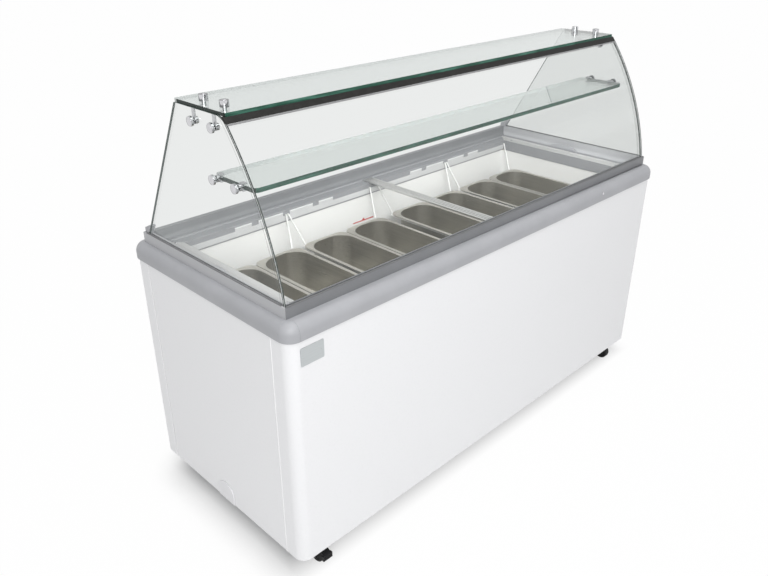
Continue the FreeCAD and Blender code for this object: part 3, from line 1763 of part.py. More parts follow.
def pedal(name, x_side, y_side):
    """A brake pedal on a pin through the cheeks, with its tread out past the wheel."""
    x = x_side * caster_x
    pin_y_here = y_side * (caster_y + pedal_pin_y)
    near = pin_y_here - y_side * pedal_pin_radius
    tip = pin_y_here + y_side * cell("pedal_reach")
    back = tip - y_side * cell("pedal_wall")
    half = cell("pedal_width") / 2
    ear_half = cheek_in - cell("caster_gap")
    top = cell("pedal_top")
    low = cell("pedal_low")
    outline = [
        (near, pedal_pin_z - pedal_pin_radius),
        (near, pedal_pin_z + pedal_pin_radius),
        (tip, top),
        (tip, low),
        (back, low),
        (back, top - cell("pedal_wall") / 2),
    ]
    lever = prism(f"lever_{name}", "x", outline, x - ear_half, x + ear_half)
    tread_y = (back, tip) if y_side > 0 else (tip, back)
    tread = block(f"tread_{name}", (x - half, x + half), tread_y, (low, top))
    start = x - cheek_out
    pin = rod(f"pedal_pin_{name}", "x", pedal_pin_radius, cheek_out * 2, start, pin_y_here, pedal_pin_z)
    return joined(f"pedal_{name}", [lever, tread, pin])


for name, (x_side, y_side, braked) in CASTERS.items():
    node(fork(name, x_side, y_side, braked), f"caster_fork_{name}")
    node(axle(name, x_side, y_side), f"caster_axle_{name}")
    node(wheel(name, x_side, y_side), f"caster_wheel_{name}")
    if braked:
        node(pedal(name, x_side, y_side), f"brake_pedal_{name}")

# Checks, then one file for each sub-part

doc.recompute()
faults = [thing.Name for thing in doc.Objects if {"Invalid", "Error"} & set(thing.State)]
faults += [part.Label for part in nodes if part.Shape.isNull() or not part.Shape.isValid()]
if faults:
    raise RuntimeError("failed: " + ", ".join(faults))

os.makedirs("parts", exist_ok=True)
for part in nodes:
    part.Shape.exportStep(f"parts/{part.Label}.step")
    print(f"{part.Label}: {len(part.Shape.Solids)} solids, {part.Shape.Volume / 1000:.1f} cm3")
print(len(nodes), "sub-parts")
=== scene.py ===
"""Finishes, fine pieces, studio and camera for the gelato dipping cabinet."""

import logging
import math
from abc import ABC, abstractmethod
from dataclasses import dataclass, field
from enum import Enum, IntEnum
from typing import Any, Iterable, Sequence, Union

import bmesh
import bpy
from mathutils import Matrix, Vector


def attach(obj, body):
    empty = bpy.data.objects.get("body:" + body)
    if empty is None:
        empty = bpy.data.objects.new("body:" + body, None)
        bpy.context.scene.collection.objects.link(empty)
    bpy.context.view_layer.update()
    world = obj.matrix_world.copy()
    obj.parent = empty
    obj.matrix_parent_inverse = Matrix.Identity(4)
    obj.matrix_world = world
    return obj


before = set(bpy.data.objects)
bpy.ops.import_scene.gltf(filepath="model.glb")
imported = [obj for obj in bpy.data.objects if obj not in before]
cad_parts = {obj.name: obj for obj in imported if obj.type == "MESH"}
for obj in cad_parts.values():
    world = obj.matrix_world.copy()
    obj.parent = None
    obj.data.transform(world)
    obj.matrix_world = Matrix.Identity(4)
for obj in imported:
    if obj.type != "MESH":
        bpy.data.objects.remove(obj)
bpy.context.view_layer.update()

log = logging.getLogger("cabinet")

Point = tuple[float, float, float]
Colour = tuple[float, float, float]
Value = Union["Wire", float]

# Points of an outline, or radius and height of each ring of a turned piece
Outline = Sequence[tuple[float, float]]

# Width, height and corner radius of a rounded bar
Rounded = tuple[float, float, float]

WHITE = (1.0, 1.0, 1.0)
UP = (0.0, 0.0, 1.0)
DOWN = (0.0, 0.0, -1.0)
FORWARD = (0.0, -1.0, 0.0)
REARWARD = (0.0, 1.0, 0.0)
BOTH = (-1, 1)


class Axis(Enum):
    """The axis that a sheet faces or a grain runs along."""

    X = 0
    Y = 1
    Z = 2


class Edge(Enum):
    """Width of the rounding along a piece's edges, in metres."""

    PLAIN = 0.0
    BLADE = 0.0003
    FINE = 0.0004
    STRIP = 0.0005
    PLATE = 0.0006
    FOLD = 0.0007
    CASING = 0.0008
    FITTING = 0.0009
    RAIL = 0.0010
    LEDGE = 0.0012


class Ray(Enum):
    """Kinds of ray that a material can tell apart."""

    CAMERA = "Is Camera Ray"
    GLOSSY = "Is Glossy Ray"
    TRANSMISSION = "Is Transmission Ray"
    SHADOW = "Is Shadow Ray"
    DIFFUSE = "Is Diffuse Ray"


class ColourMix(IntEnum):
    """Numbers of the Mix node's sockets that serve colours."""

    SHARE = 0
    FIRST = 6
    SECOND = 7
    RESULT = 2


class Wire:
    """A node's output that takes part in arithmetic, one Math node for each operation."""

    def __init__(self, graph: "Graph", socket: bpy.types.NodeSocket) -> None:
        """Hold an output and the graph it belongs to."""
        self.graph = graph
        self.socket = socket

    def math(self, operation: str, first: Value, second: Value = 0.0) -> "Wire":
        """Add one Math node."""
        return self.graph.add("ShaderNodeMath", {"operation": operation}, {0: first, 1: second})

    def __add__(self, other: Value) -> "Wire":
        """Sum."""
        return self.math("ADD", self, other)

    __radd__ = __add__

    def __sub__(self, other: Value) -> "Wire":
        """Difference."""
        return self.math("SUBTRACT", self, other)

    def __rsub__(self, other: Value) -> "Wire":
        """Difference from a number."""
        return self.math("SUBTRACT", other, self)

    def __mul__(self, other: Value) -> "Wire":
        """Product."""
        return self.math("MULTIPLY", self, other)

    __rmul__ = __mul__

    def __pow__(self, other: Value) -> "Wire":
        """Power."""
        return self.math("POWER", self, other)

    def __abs__(self) -> "Wire":
        """Size without sign."""
        return self.math("ABSOLUTE", self)

    def __gt__(self, other: Value) -> "Wire":
        """One where this is greater, otherwise nought."""
        return self.math("GREATER_THAN", self, other)

    def __lt__(self, other: Value) -> "Wire":
        """One where this is less, otherwise nought."""
        return self.math("LESS_THAN", self, other)

    def root(self) -> "Wire":
        """Square root."""
        return self.math("SQRT", self)

    def top(self, other: Value) -> "Wire":
        """The greater of two values."""
        return self.math("MAXIMUM", self, other)

    def low(self, other: Value) -> "Wire":
        """The lesser of two values."""
        return self.math("MINIMUM", self, other)

    def part(self, axis: Axis) -> "Wire":
        """One component of a vector."""
        return self.graph.add("ShaderNodeSeparateXYZ", {}, {0: self}, axis.value)

    def fit(self, low: float, high: float, new_low: float = 0.0, new_high: float = 1.0) -> "Wire":
        """Map the range from low to high to another one, clamped at its ends."""
        values = {"From Min": low, "From Max": high, "To Min": new_low, "To Max": new_high, "Value": self}
        return self.graph.add("ShaderNodeMapRange", {}, values)


class Graph:
    """The node graph of one material or of the world."""

    def __init__(self, tree: bpy.types.NodeTree) -> None:
        """Empty a node tree, ready for new nodes."""
        self.tree = tree
        tree.nodes.clear()

    def node(self, kind: str, settings: dict[str, Any], values: dict[Any, Any]) -> bpy.types.Node:
        """Add a node.

        Args:
            kind: Blender's type name.
            settings: Properties, set first.
            values: Socket names or numbers with what each holds or is linked from.

        Returns:
            The new node.
        """
        made = self.tree.nodes.new(kind)
        for name, setting in settings.items():
            setattr(made, name, setting)
        for name, value in values.items():
            socket = made.inputs[name]
            if isinstance(value, Wire):
                self.tree.links.new(value.socket, socket)
            elif socket.type == "RGBA":
                socket.default_value = (*value, 1.0)
            else:
                socket.default_value = value
        return made

    def add(self, kind: str, settings: dict[str, Any], values: dict[Any, Any], output: Any = 0) -> Wire:
        """Add a node and take the output with a given name or number."""
        return Wire(self, self.node(kind, settings, values).outputs[output])

    def place(self) -> Wire:
        """The point on the surface, in metres on the cabinet at rest."""
        return self.add("ShaderNodeTexCoord", {}, {}, "Object")

    def facing(self) -> Wire:
        """The surface's own direction on the cabinet at rest."""
        return self.add("ShaderNodeTexCoord", {}, {}, "Normal")

    def glance(self) -> Wire:
        """Nought where the surface is seen head on, one along its outline."""
        return self.add("ShaderNodeLayerWeight", {}, {"Blend": 0.5}, "Facing")

    def rays(self, *kinds: Ray) -> Wire:
        """Tell some kinds of ray from the rest.

        Args:
            kinds: The kinds to find.

        Returns:
            One for rays of those kinds, otherwise nought.
        """
        paths = self.node("ShaderNodeLightPath", {}, {})
        found, *others = [Wire(self, paths.outputs[kind.value]) for kind in kinds]
        for other in others:
            found = found.top(other)
        return found

    def noise(self, where: Wire, scale: float, detail: float = 2.0, rough: float = 0.5) -> Wire:
        """Smooth noise about one half, with its features per metre and its finer layers."""
        values = {"Vector": where, "Scale": scale, "Detail": detail, "Roughness": rough}
        return self.add("ShaderNodeTexNoise", {}, values)

    def stretch(self, where: Wire, scale: Point) -> Wire:
        """A point scaled along each axis."""
        return self.add("ShaderNodeVectorMath", {"operation": "MULTIPLY"}, {0: where, 1: scale})

    def mix(self, share: Value, first: Any, second: Any) -> Wire:
        """A colour between two, the first at a share of nought and the second at one."""
        values = {ColourMix.SHARE: share, ColourMix.FIRST: first, ColourMix.SECOND: second}
        return self.add("ShaderNodeMix", {"data_type": "RGBA"}, values, ColourMix.RESULT)

    def bump(self, height: Wire, strength: float, distance: float) -> Wire:
        """A surface direction tilted by a height, whose full depth is in metres."""
        values = {"Height": height, "Strength": strength, "Distance": distance}
        return self.add("ShaderNodeBump", {}, values)

    def shader(self, values: dict[str, Any]) -> Wire:
        """A Principled shader with the given sockets."""
        return self.add("ShaderNodeBsdfPrincipled", {}, values)

    def blend(self, share: Wire, first: Wire, second: Wire) -> Wire:
        """A shader between two, the first at a share of nought and the second at one."""
        return self.add("ShaderNodeMixShader", {}, {0: share, 1: first, 2: second})

    def finish(self, surface: Wire, kind: str = "ShaderNodeOutputMaterial") -> None:
        """Send a shader to the output."""
        self.node(kind, {}, {"Surface": surface})


def shade(colour: Colour, share: float) -> Colour:
    """A colour with every part taken down to a share of itself."""
    return tuple(part * share for part in colour)


@dataclass(frozen=True)
class Finish(ABC):
    """What a piece is made of: a name, and a surface that makes the material."""

    name: str

    @abstractmethod
    def surface(self, graph: Graph) -> Wire:
        """The finish's shader."""

    def material(self) -> bpy.types.Material:
        """Build the material.

        Returns:
            The material with its nodes.
        """
        material = bpy.data.materials.new(self.name)
        material.use_nodes = True
        graph = Graph(material.node_tree)
        graph.finish(self.surface(graph))
        return material


@dataclass(frozen=True)
class PaintedSheet(Finish):
    """Stoved paint on sheet metal, with a faint peel and slow drifts of tone."""

    colour: Colour
    rough: float = 0.28
    peel: float = 0.05
    coat: float = 0.25

    def surface(self, graph: Graph) -> Wire:
        """Paint with a drifting tone, fine dust and a peel under a clear coat.

        Args:
            graph: The material's graph.

        Returns:
            The shader.
        """
        where = graph.place()
        drift = graph.noise(where, scale=2.2, detail=3.0)
        dust = graph.noise(where, scale=160.0, detail=4.0, rough=0.6)
        tone = graph.mix(drift, shade(self.colour, 0.99), self.colour)
        peel = graph.noise(where, scale=420.0)
        return graph.shader(
            {
                "Base Color": graph.mix(dust.fit(0.5, 0.8), tone, shade(self.colour, 0.965)),
                "Roughness": drift.fit(0.0, 1.0, self.rough - 0.05, self.rough + 0.05),
                "Coat Weight": self.coat,
                "Coat Roughness": 0.08,
                "Normal": graph.bump(peel, strength=self.peel, distance=0.0004),
            }
        )


@dataclass(frozen=True)
class MouldedPlastic(Finish):
    """Moulded or extruded plastic with a fine grain, rubbed patches and, if given, end rails drawn lighter
    as painted light.
    """

    colour: Colour
    rough: float = 0.42
    grain: float = 900.0
    depth: float = 0.12
    scuff: float = 0.10
    painted_light_ends: Union[Colour, None] = None
    mitre: float = 0.479
    within: float = 1.0
    above: float = 0.0

    def at_painted_light_ends(self, where: Wire) -> Wire:
        """One on the end rails past the mitred corners, which take the painted light, otherwise nought."""
        x, y, z = (where.part(axis) for axis in Axis)
        return (abs(x) - abs(y) > self.mitre) * (abs(x) < self.within) * (z > self.above)

    def surface(self, graph: Graph) -> Wire:
        """Plastic with a grain, clouds of tone, rubbed patches and, if given, painted light on the end
        rails.

        Args:
            graph: The material's graph.

        Returns:
            The shader.
        """
        where = graph.place()
        grain = graph.noise(where, self.grain)
        cloud = graph.noise(where, scale=9.0, detail=4.0, rough=0.6)
        rubs = graph.noise(graph.stretch(where, (6.0, 40.0, 60.0)), scale=3.0, detail=5.0, rough=0.7)
        light = tuple(min(1.0, part * 1.12 + 0.012) for part in self.colour)
        tone = graph.mix(cloud.fit(0.35, 0.65, 0.0, 0.55), self.colour, light)
        # Painted light and shade: the end rails are drawn lighter than the front and rear rails of the same
        # grey.
        if self.painted_light_ends is not None:
            tone = graph.mix(self.at_painted_light_ends(where), tone, self.painted_light_ends)
        rubbed = (rubs > 0.66) * self.scuff
        return graph.shader(
            {
                "Base Color": graph.mix(rubbed, tone, light),
                "Roughness": grain.fit(0.3, 0.7, self.rough - 0.06, self.rough + 0.08) - rubbed * 0.6,
                "Normal": graph.bump(grain, strength=self.depth, distance=0.0003),
            }
        )


@dataclass(frozen=True)
class BrushedMetal(Finish):
    """Metal with a drawn or brushed grain along one axis."""

    colour: Colour
    along: Axis = Axis.X
    rough: float = 0.32
    grain: float = 260.0
    depth: float = 0.08
    stain: float = 0.12
    pull: float = 0.02

    def surface(self, graph: Graph) -> Wire:
        """Metal with lines along its grain and clouds of stain.

        Args:
            graph: The material's graph.

        Returns:
            The shader.
        """
        where = graph.place()
        pulled = tuple(self.pull if axis is self.along else 1.0 for axis in Axis)
        lines = graph.noise(graph.stretch(where, pulled), self.grain, detail=4.0, rough=0.65)
        cloud = graph.noise(where, scale=14.0, detail=3.0)
        dull = shade(self.colour, 1.0 - self.stain * 1.6)
        tone = graph.mix(lines.fit(0.3, 0.7), dull, self.colour)
        return graph.shader(
            {
                "Base Color": graph.mix(cloud.fit(0.4, 0.7, 0.0, self.stain * 3.0), tone, dull),
                "Metallic": 1.0,
                "Roughness": lines.fit(0.3, 0.7, self.rough - 0.07, self.rough + 0.09),
                "Normal": graph.bump(lines, strength=self.depth, distance=0.0002),
            }
        )


@dataclass(frozen=True)
class PolishedMetal(Finish):
    """Bright plating with finger haze, hairlines and a painted dark reflection along its outline, sleeved
    where it passes the top glass.
    """

    colour: Colour
    painted_dark_reflection: Colour
    rough: float = 0.06
    sleeve: Union[Colour, None] = None
    sleeve_reach: float = 0.757
    sleeve_low: float = 1.158
    sleeve_high: float = 1.1732

    def sleeved(self, where: Wire) -> Wire:
        """One on the bolts within the top glass, otherwise nought."""
        x, _, z = (where.part(axis) for axis in Axis)
        return (abs(x) < self.sleeve_reach) * (z > self.sleeve_low) * (z < self.sleeve_high)

    def surface(self, graph: Graph) -> Wire:
        """Plating with haze and hairlines, and a painted dark reflection along its outline.

        Args:
            graph: The material's graph.

        Returns:
            The shader.
        """
        where = graph.place()
        haze = graph.noise(where, scale=120.0, detail=3.0)
        hair = graph.noise(graph.stretch(where, (1.0, 0.05, 1.0)), scale=1500.0)
        tone = graph.mix(haze.fit(0.35, 0.7, 0.0, 0.8), self.colour, shade(self.colour, 0.86))
        # Painted reflection: the plating is drawn dark where the surface turns away from the eye.
        tone = graph.mix(graph.glance().fit(0.60, 0.80), tone, self.painted_dark_reflection)
        metal: Value = 1.0
        if self.sleeve is not None:
            sleeved = self.sleeved(where)
            tone = graph.mix(sleeved, tone, self.sleeve)
            metal = 1.0 - sleeved
        return graph.shader(
            {
                "Base Color": tone,
                "Metallic": metal,
                "Roughness": haze.fit(0.4, 0.7, self.rough, self.rough + 0.1),
                "Normal": graph.bump(hair, strength=0.02, distance=0.0001),
            }
        )


@dataclass(frozen=True)
class SheetGlass(Finish):
    """Clear sheet glass whose ground edges show the green of its depth."""

    faces: Axis
    clear: Colour
    edge: Colour
    edge_pale: Colour
    end: Colour
    rear: Colour
    rear_from: float
    curved: bool = False
    bevel: float = 0.0
    bevel_half: float = 0.0007
    bevel_share: float = 0.6
    arc_y: float = 0.51275
    arc_z: float = 0.65166
    core: float = 0.8171
    core_half: float = 0.0008
    core_colour: Colour = (0.86, 0.88, 0.87)
    edge_rough: float = 0.16
    edge_solid: float = 0.97
    glare: Colour = (0.80, 0.83, 0.82)
    head_on: float = 0.04

    def reach(self, where: Wire) -> Wire:
        """How far a point lies from the axis of the front curve, in metres."""
        deep, high = where.part(Axis.Y) - self.arc_y, where.part(Axis.Z) - self.arc_z
        return (deep * deep + high * high).root()

    def edge_colour(self, graph: Graph, where: Wire, facing: Wire) -> Wire:
        """The edges' colour: streaked in front, darker at the ends, plain at the rear, a curve's core pale.

        Args:
            graph: The material's graph.
            where: The point on the surface.
            facing: The surface's direction.

        Returns:
            The colour.
        """
        streak = graph.noise(graph.stretch(where, (14.0, 60.0, 130.0)), scale=1.0, detail=3.0)
        front = graph.mix(streak.fit(0.42, 0.78), self.edge, self.edge_pale)
        if self.curved:
            middle = abs(self.reach(where) - self.core) < self.core_half
            sides = graph.mix(middle, front, self.core_colour)
        else:
            sides = graph.mix(abs(facing.part(Axis.X)) > 0.6, front, self.end)
        return graph.mix(where.part(Axis.Y) > self.rear_from, sides, self.rear)

    def surface(self, graph: Graph) -> Wire:
        """Glass that is clear head on, bright at a slant and solid along its edges, and casts no shadow.

        Args:
            graph: The material's graph.

        Returns:
            The shader.
        """
        where = graph.place()
        facing = graph.facing()
        side = abs(facing.part(self.faces))
        edge = (side > 0.5) if self.curved else (side < 0.5)
        if self.bevel > 0.0:
            edge = edge.top((abs(self.reach(where) - self.bevel) < self.bevel_half) * self.bevel_share)
        mark = graph.noise(where, scale=26.0, detail=4.0, rough=0.6)
        slant = graph.glance() ** 5.0 * (1.0 - self.head_on) + self.head_on
        smear = mark.fit(0.62, 0.8, 0.0, 0.02)
        shine = (slant + smear).low(1.0).top(edge * self.edge_solid)
        sheen = graph.shader(
            {
                "Base Color": graph.mix(edge, self.glare, self.edge_colour(graph, where, facing)),
                "Metallic": 1.0 - edge,
                "Specular IOR Level": 0.15,
                "Roughness": edge * self.edge_rough + mark.fit(0.5, 0.8, 0.015, 0.06),
            }
        )
        through = graph.add("ShaderNodeBsdfTransparent", {}, {"Color": self.clear})
        open_air = graph.add("ShaderNodeBsdfTransparent", {}, {"Color": WHITE})
        seen = graph.blend(shine, through, sheen)
        return graph.blend(graph.rays(Ray.SHADOW, Ray.DIFFUSE), seen, open_air)


@dataclass(frozen=True)
class RubberSeal(Finish):
    """Black rubber, sealant or dull moulding with a dusty bloom."""

    colour: Colour
    rough: float = 0.55
    bloom: float = 0.35

    def surface(self, graph: Graph) -> Wire:
        """Rubber with fine pores and a bloom of dust.

        Args:
            graph: The material's graph.

        Returns:
            The shader.
        """
        where = graph.place()
        dust = graph.noise(where, scale=60.0, detail=5.0, rough=0.65)
        pore = graph.noise(where, scale=1400.0)
        grey = tuple(part + 0.05 for part in self.colour)
        return graph.shader(
            {
                "Base Color": graph.mix(dust.fit(0.45, 0.75, 0.0, self.bloom), self.colour, grey),
                "Specular IOR Level": 0.2,
                "Roughness": dust.fit(0.35, 0.7, self.rough - 0.1, self.rough + 0.15),
                "Normal": graph.bump(pore, strength=0.15, distance=0.0003),
            }
        )


@dataclass(frozen=True)
class CutFoam(Finish):
    """Rigid foam with open cells."""

    colour: Colour

    def surface(self, graph: Graph) -> Wire:
        """Foam with painted shade in the middle of each cell, where the bump sinks a pit.

        Args:
            graph: The material's graph.

        Returns:
            The shader.
        """
        values = {"Vector": graph.place(), "Scale": 350.0}
        cell = graph.add("ShaderNodeTexVoronoi", {}, values, "Distance")
        return graph.shader(
            {
                # Painted shade: each cell's pit is drawn darker.
                "Base Color": graph.mix(cell.fit(0.0, 0.6), shade(self.colour, 0.8), self.colour),
                "Roughness": 0.9,
                "Normal": graph.bump(cell, strength=0.4, distance=0.001),
            }
        )


@dataclass(frozen=True)
class StudioFloor(Finish):
    """Matt pale floor, white to the eye, that keeps the shadow beside and under the cabinet."""

    matt: Colour = (0.80, 0.80, 0.80)
    shade_reach: float = 0.15
    shade_full: float = 0.36
    shade_none: float = 0.86
    clear_from: float = 0.22
    clear_to: float = 0.335
    whitest: float = 0.985

    def surface(self, graph: Graph) -> Wire:
        """A matt floor that glows white away from the cabinet and ahead of it.

        Args:
            graph: The material's graph.

        Returns:
            The shader.
        """
        seen = graph.rays(Ray.CAMERA, Ray.GLOSSY, Ray.TRANSMISSION)
        values = {"Distance": self.shade_reach}
        near = graph.add("ShaderNodeAmbientOcclusion", {"samples": 16}, values, "AO")
        matt = graph.add("ShaderNodeBsdfDiffuse", {}, {"Color": self.matt})
        glow = graph.add("ShaderNodeEmission", {}, {"Color": WHITE, "Strength": 1.0})
        ahead = 0.0 - graph.place().part(Axis.Y)
        cleared = ahead.fit(self.clear_from, self.clear_to, 0.0, self.whitest)
        lit = near.fit(self.shade_full, self.shade_none, 0.0, self.whitest)
        return graph.blend(seen * lit.top(cleared), matt, glow)


# Paint: colour, roughness, depth of the peel, clear coat
WHITE_PANEL = PaintedSheet("white_panel", (0.875, 0.877, 0.89), 0.30, 0.04)
LINER = PaintedSheet("liner_white", (0.90, 0.90, 0.885), 0.32, 0.05, 0.15)
WIRE_DIP = PaintedSheet("white_wire", (0.86, 0.86, 0.85), 0.36, 0.10, 0.1)
BLACK_ENAMEL = PaintedSheet("black_enamel", (0.02, 0.02, 0.022), 0.35, 0.12)
# The seam beads' whiter paint is a painted highlight on the folded seams.
SEAM_HIGHLIGHT = PaintedSheet("seam_highlight", (0.96, 0.96, 0.97), 0.22, 0.02, 0.4)
LOAD_RED = PaintedSheet("load_line_red", (0.62, 0.045, 0.04), 0.4, 0.05, 0.0)

# Plastic: colour, roughness, grains per metre, depth of the grain, strength of the rubbed patches
BUMPER = MouldedPlastic("rim_grey", (0.385, 0.39, 0.41), 0.40, 800.0, 0.10)
# The lip's and ledge's front and rear rails are darkened and their end rails lightened: painted shade and
# painted light on one grey moulding.
LIP = MouldedPlastic("lip_grey", (0.195, 0.20, 0.21), 0.36, 700.0, 0.08, 0.06, painted_light_ends=(0.48, 0.485, 0.50))
LEDGE = MouldedPlastic(
    "ledge_grey", (0.28, 0.285, 0.30), 0.42, 800.0, 0.08, 0.06,
    painted_light_ends=(0.52, 0.52, 0.515), mitre=0.466, within=0.735, above=0.7524,
)
STRIP = MouldedPlastic("strip_pale", (0.60, 0.605, 0.61), 0.40, 900.0, 0.08)
TRIM = MouldedPlastic("trim_grey", (0.22, 0.22, 0.225), 0.42, 800.0, 0.08)
# This white serves the dial's printed ticks and pointer, and the painted highlights along the strips' tabs.
MARK_AND_HIGHLIGHT_WHITE = MouldedPlastic("mark_and_highlight_white", (0.78, 0.785, 0.79), 0.40, 900.0, 0.05)
BLACK_PLASTIC = MouldedPlastic("black_plastic", (0.022, 0.022, 0.024), 0.48, 700.0, 0.25, 0.05)
SWITCH_RED = MouldedPlastic("switch_red", (0.55, 0.03, 0.025), 0.30, 500.0, 0.05)
PILOT_AMBER = MouldedPlastic("pilot_amber", (0.72, 0.30, 0.03), 0.22, 400.0, 0.03, 0.02)
DRAIN_GREY = MouldedPlastic("drain_plastic", (0.62, 0.62, 0.60), 0.45)
DRAIN_WHITE = MouldedPlastic("drain_cover_white", (0.80, 0.80, 0.815), 0.38, 900.0, 0.06, 0.04)

# Brushed metal: colour, axis of the grain, roughness, grains per metre, depth of the grain, stains
PAN_STEEL = BrushedMetal("pan_steel", (0.62, 0.595, 0.54), Axis.Y, 0.34, 240.0, 0.06, 0.14)
BAR_METAL = BrushedMetal("bar_aluminium", (0.70, 0.70, 0.69), Axis.Y, 0.30, 420.0, 0.08, 0.05)
GALVANISED = BrushedMetal("galvanised", (0.55, 0.56, 0.57), Axis.X, 0.45, 40.0, 0.10, 0.16)
FIN_METAL = BrushedMetal("fin_aluminium", (0.68, 0.69, 0.70), Axis.Z, 0.35, 300.0, 0.06, 0.08)
ZINC = BrushedMetal("caster_steel", (0.55, 0.55, 0.56), Axis.Z, 0.38, 200.0, 0.06, 0.12)
COPPER = BrushedMetal("copper_tube", (0.72, 0.38, 0.25), Axis.X, 0.30, 200.0, 0.05, 0.12)
PLATE_METAL = BrushedMetal("plate_metal", (0.62, 0.65, 0.66), Axis.X, 0.36, 600.0, 0.05, 0.06)

# Plating: colour head on, and the painted dark reflection along the outline
BRIGHT = (0.66, 0.66, 0.68)
PAINTED_DARK_REFLECTION = (0.05, 0.05, 0.055)
CHROME = PolishedMetal("chrome_fitting", BRIGHT, PAINTED_DARK_REFLECTION)
BUSHED = PolishedMetal("chrome_bracket", BRIGHT, PAINTED_DARK_REFLECTION, sleeve=(0.63, 0.65, 0.64))

# Rubber: colour, roughness, strength of the bloom
SEAL = RubberSeal("black_seal", (0.012, 0.012, 0.011))
GASKET = RubberSeal("gasket_grey", (0.19, 0.19, 0.195), 0.5)
TYRE = RubberSeal("caster_tyre", (0.014, 0.014, 0.014), 0.6)
CASTER_BLACK = RubberSeal("caster_black", (0.010, 0.010, 0.011), 0.45, 0.12)
PEDAL = RubberSeal("pedal_black", (0.009, 0.009, 0.010), 0.5, 0.12)
FOAM = CutFoam("foam", (0.80, 0.70, 0.42))

# Glass: the side that the sheet faces, its clear colour and the colours of its edges
PALE_CLEAR = (0.920, 0.926, 0.923)
DARK_EDGE = (0.018, 0.030, 0.025)
FAINT_EDGE = (0.52, 0.55, 0.54)
END_GLASS = SheetGlass(
    "end_glass", Axis.X, PALE_CLEAR, edge=DARK_EDGE, edge_pale=(0.16, 0.19, 0.18),
    end=DARK_EDGE, rear=(0.06, 0.08, 0.075), rear_from=0.03, bevel=0.8060,
)
FRONT_GLASS = SheetGlass(
    "front_glass", Axis.X, PALE_CLEAR, edge=(0.010, 0.016, 0.014), edge_pale=(0.20, 0.23, 0.22),
    end=DARK_EDGE, rear=FAINT_EDGE, rear_from=1.0, curved=True,
)
TOP_GLASS = SheetGlass(
    "top_glass", Axis.Z, (0.845, 0.862, 0.856), edge=(0.010, 0.070, 0.044), edge_pale=(0.07, 0.22, 0.16),
    end=(0.006, 0.016, 0.012), rear=FAINT_EDGE, rear_from=0.06,
)
SHELF_GLASS = SheetGlass(
    "shelf_glass", Axis.Z, (0.905, 0.925, 0.917), edge=(0.010, 0.060, 0.038), edge_pale=(0.05, 0.17, 0.12),
    end=(0.01, 0.03, 0.022), rear=FAINT_EDGE, rear_from=-0.06,
)


def put(name: str, data: Any) -> bpy.types.Object:
    """Put a mesh, a lamp or a camera in the scene.

    Args:
        name: The object's name.
        data: What it shows.

    Returns:
        The new object.
    """
    thing = bpy.data.objects.new(name, data)
    bpy.context.scene.collection.objects.link(thing)
    return thing


@dataclass
class Workshop:
    """Keeps one material for each finish and puts pieces in the scene."""

    weld_gap: float = 1e-5
    flat_angle: float = 0.4
    arris_angle: float = 28.0
    made: dict[str, bpy.types.Material] = field(default_factory=dict)

    def material(self, finish: Finish) -> bpy.types.Material:
        """The material of a finish, built on first use.

        Args:
            finish: The finish.

        Returns:
            Its only material.
        """
        if finish.name not in self.made:
            self.made[finish.name] = finish.material()
        return self.made[finish.name]

    def piece(
        self, name: str, mesh: bmesh.types.BMesh, finish: Finish, body: str, slot: str, smooth: bool = False
    ) -> None:
        """Put a mesh in the scene on one of the cabinet's bodies.

        Args:
            name: The piece's name.
            mesh: Its mesh, which is used up.
            finish: What it is made of.
            body: The body it moves with.
            slot: The material slot it belongs to; not used.
            smooth: Whether its curves are smoothed.
        """
        bmesh.ops.recalc_face_normals(mesh, faces=mesh.faces)
        data = bpy.data.meshes.new(name)
        mesh.to_mesh(data)
        mesh.free()
        data.materials.append(self.material(finish))
        thing = put(name, data)
        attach(thing, body)
        if smooth:
            self.soften(thing, Edge.PLAIN)
        log.info("made %s on %s", name, body)

    def soften(self, thing: bpy.types.Object, edge: Edge) -> None:
        """Smooth an object's curves and round its sharp edges.

        Args:
            thing: The object.
            edge: Width of the rounding; plain edges stay sharp.
        """
        for face in thing.data.polygons:
            face.use_smooth = True
        if edge is not Edge.PLAIN:
            thing.modifiers.new("weld", "WELD").merge_threshold = self.weld_gap
            flat = thing.modifiers.new("flat", "DECIMATE")
            flat.decimate_type = "DISSOLVE"
            flat.angle_limit = math.radians(self.flat_angle)
            bevel = thing.modifiers.new("arris", "BEVEL")
            bevel.width = edge.value
            bevel.segments = 2
            bevel.limit_method = "ANGLE"
            bevel.angle_limit = math.radians(self.arris_angle)
            bevel.harden_normals = True
        thing.modifiers.new("even", "WEIGHTED_NORMAL").keep_sharp = True

    def dress(self, names: Iterable[str], finish: Finish, edge: Edge = Edge.PLAIN) -> None:
        """Give CAD nodes a finish and rounded edges.

        Args:
            names: The nodes.
            finish: What they are made of.
            edge: Width of their edges' rounding.
        """
        for name in names:
            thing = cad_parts[name]
            thing.data.materials.clear()
            thing.data.materials.append(self.material(finish))
            if edge is not Edge.PLAIN:
                self.soften(thing, edge)
            log.info("dressed %s with %s", name, finish.name)


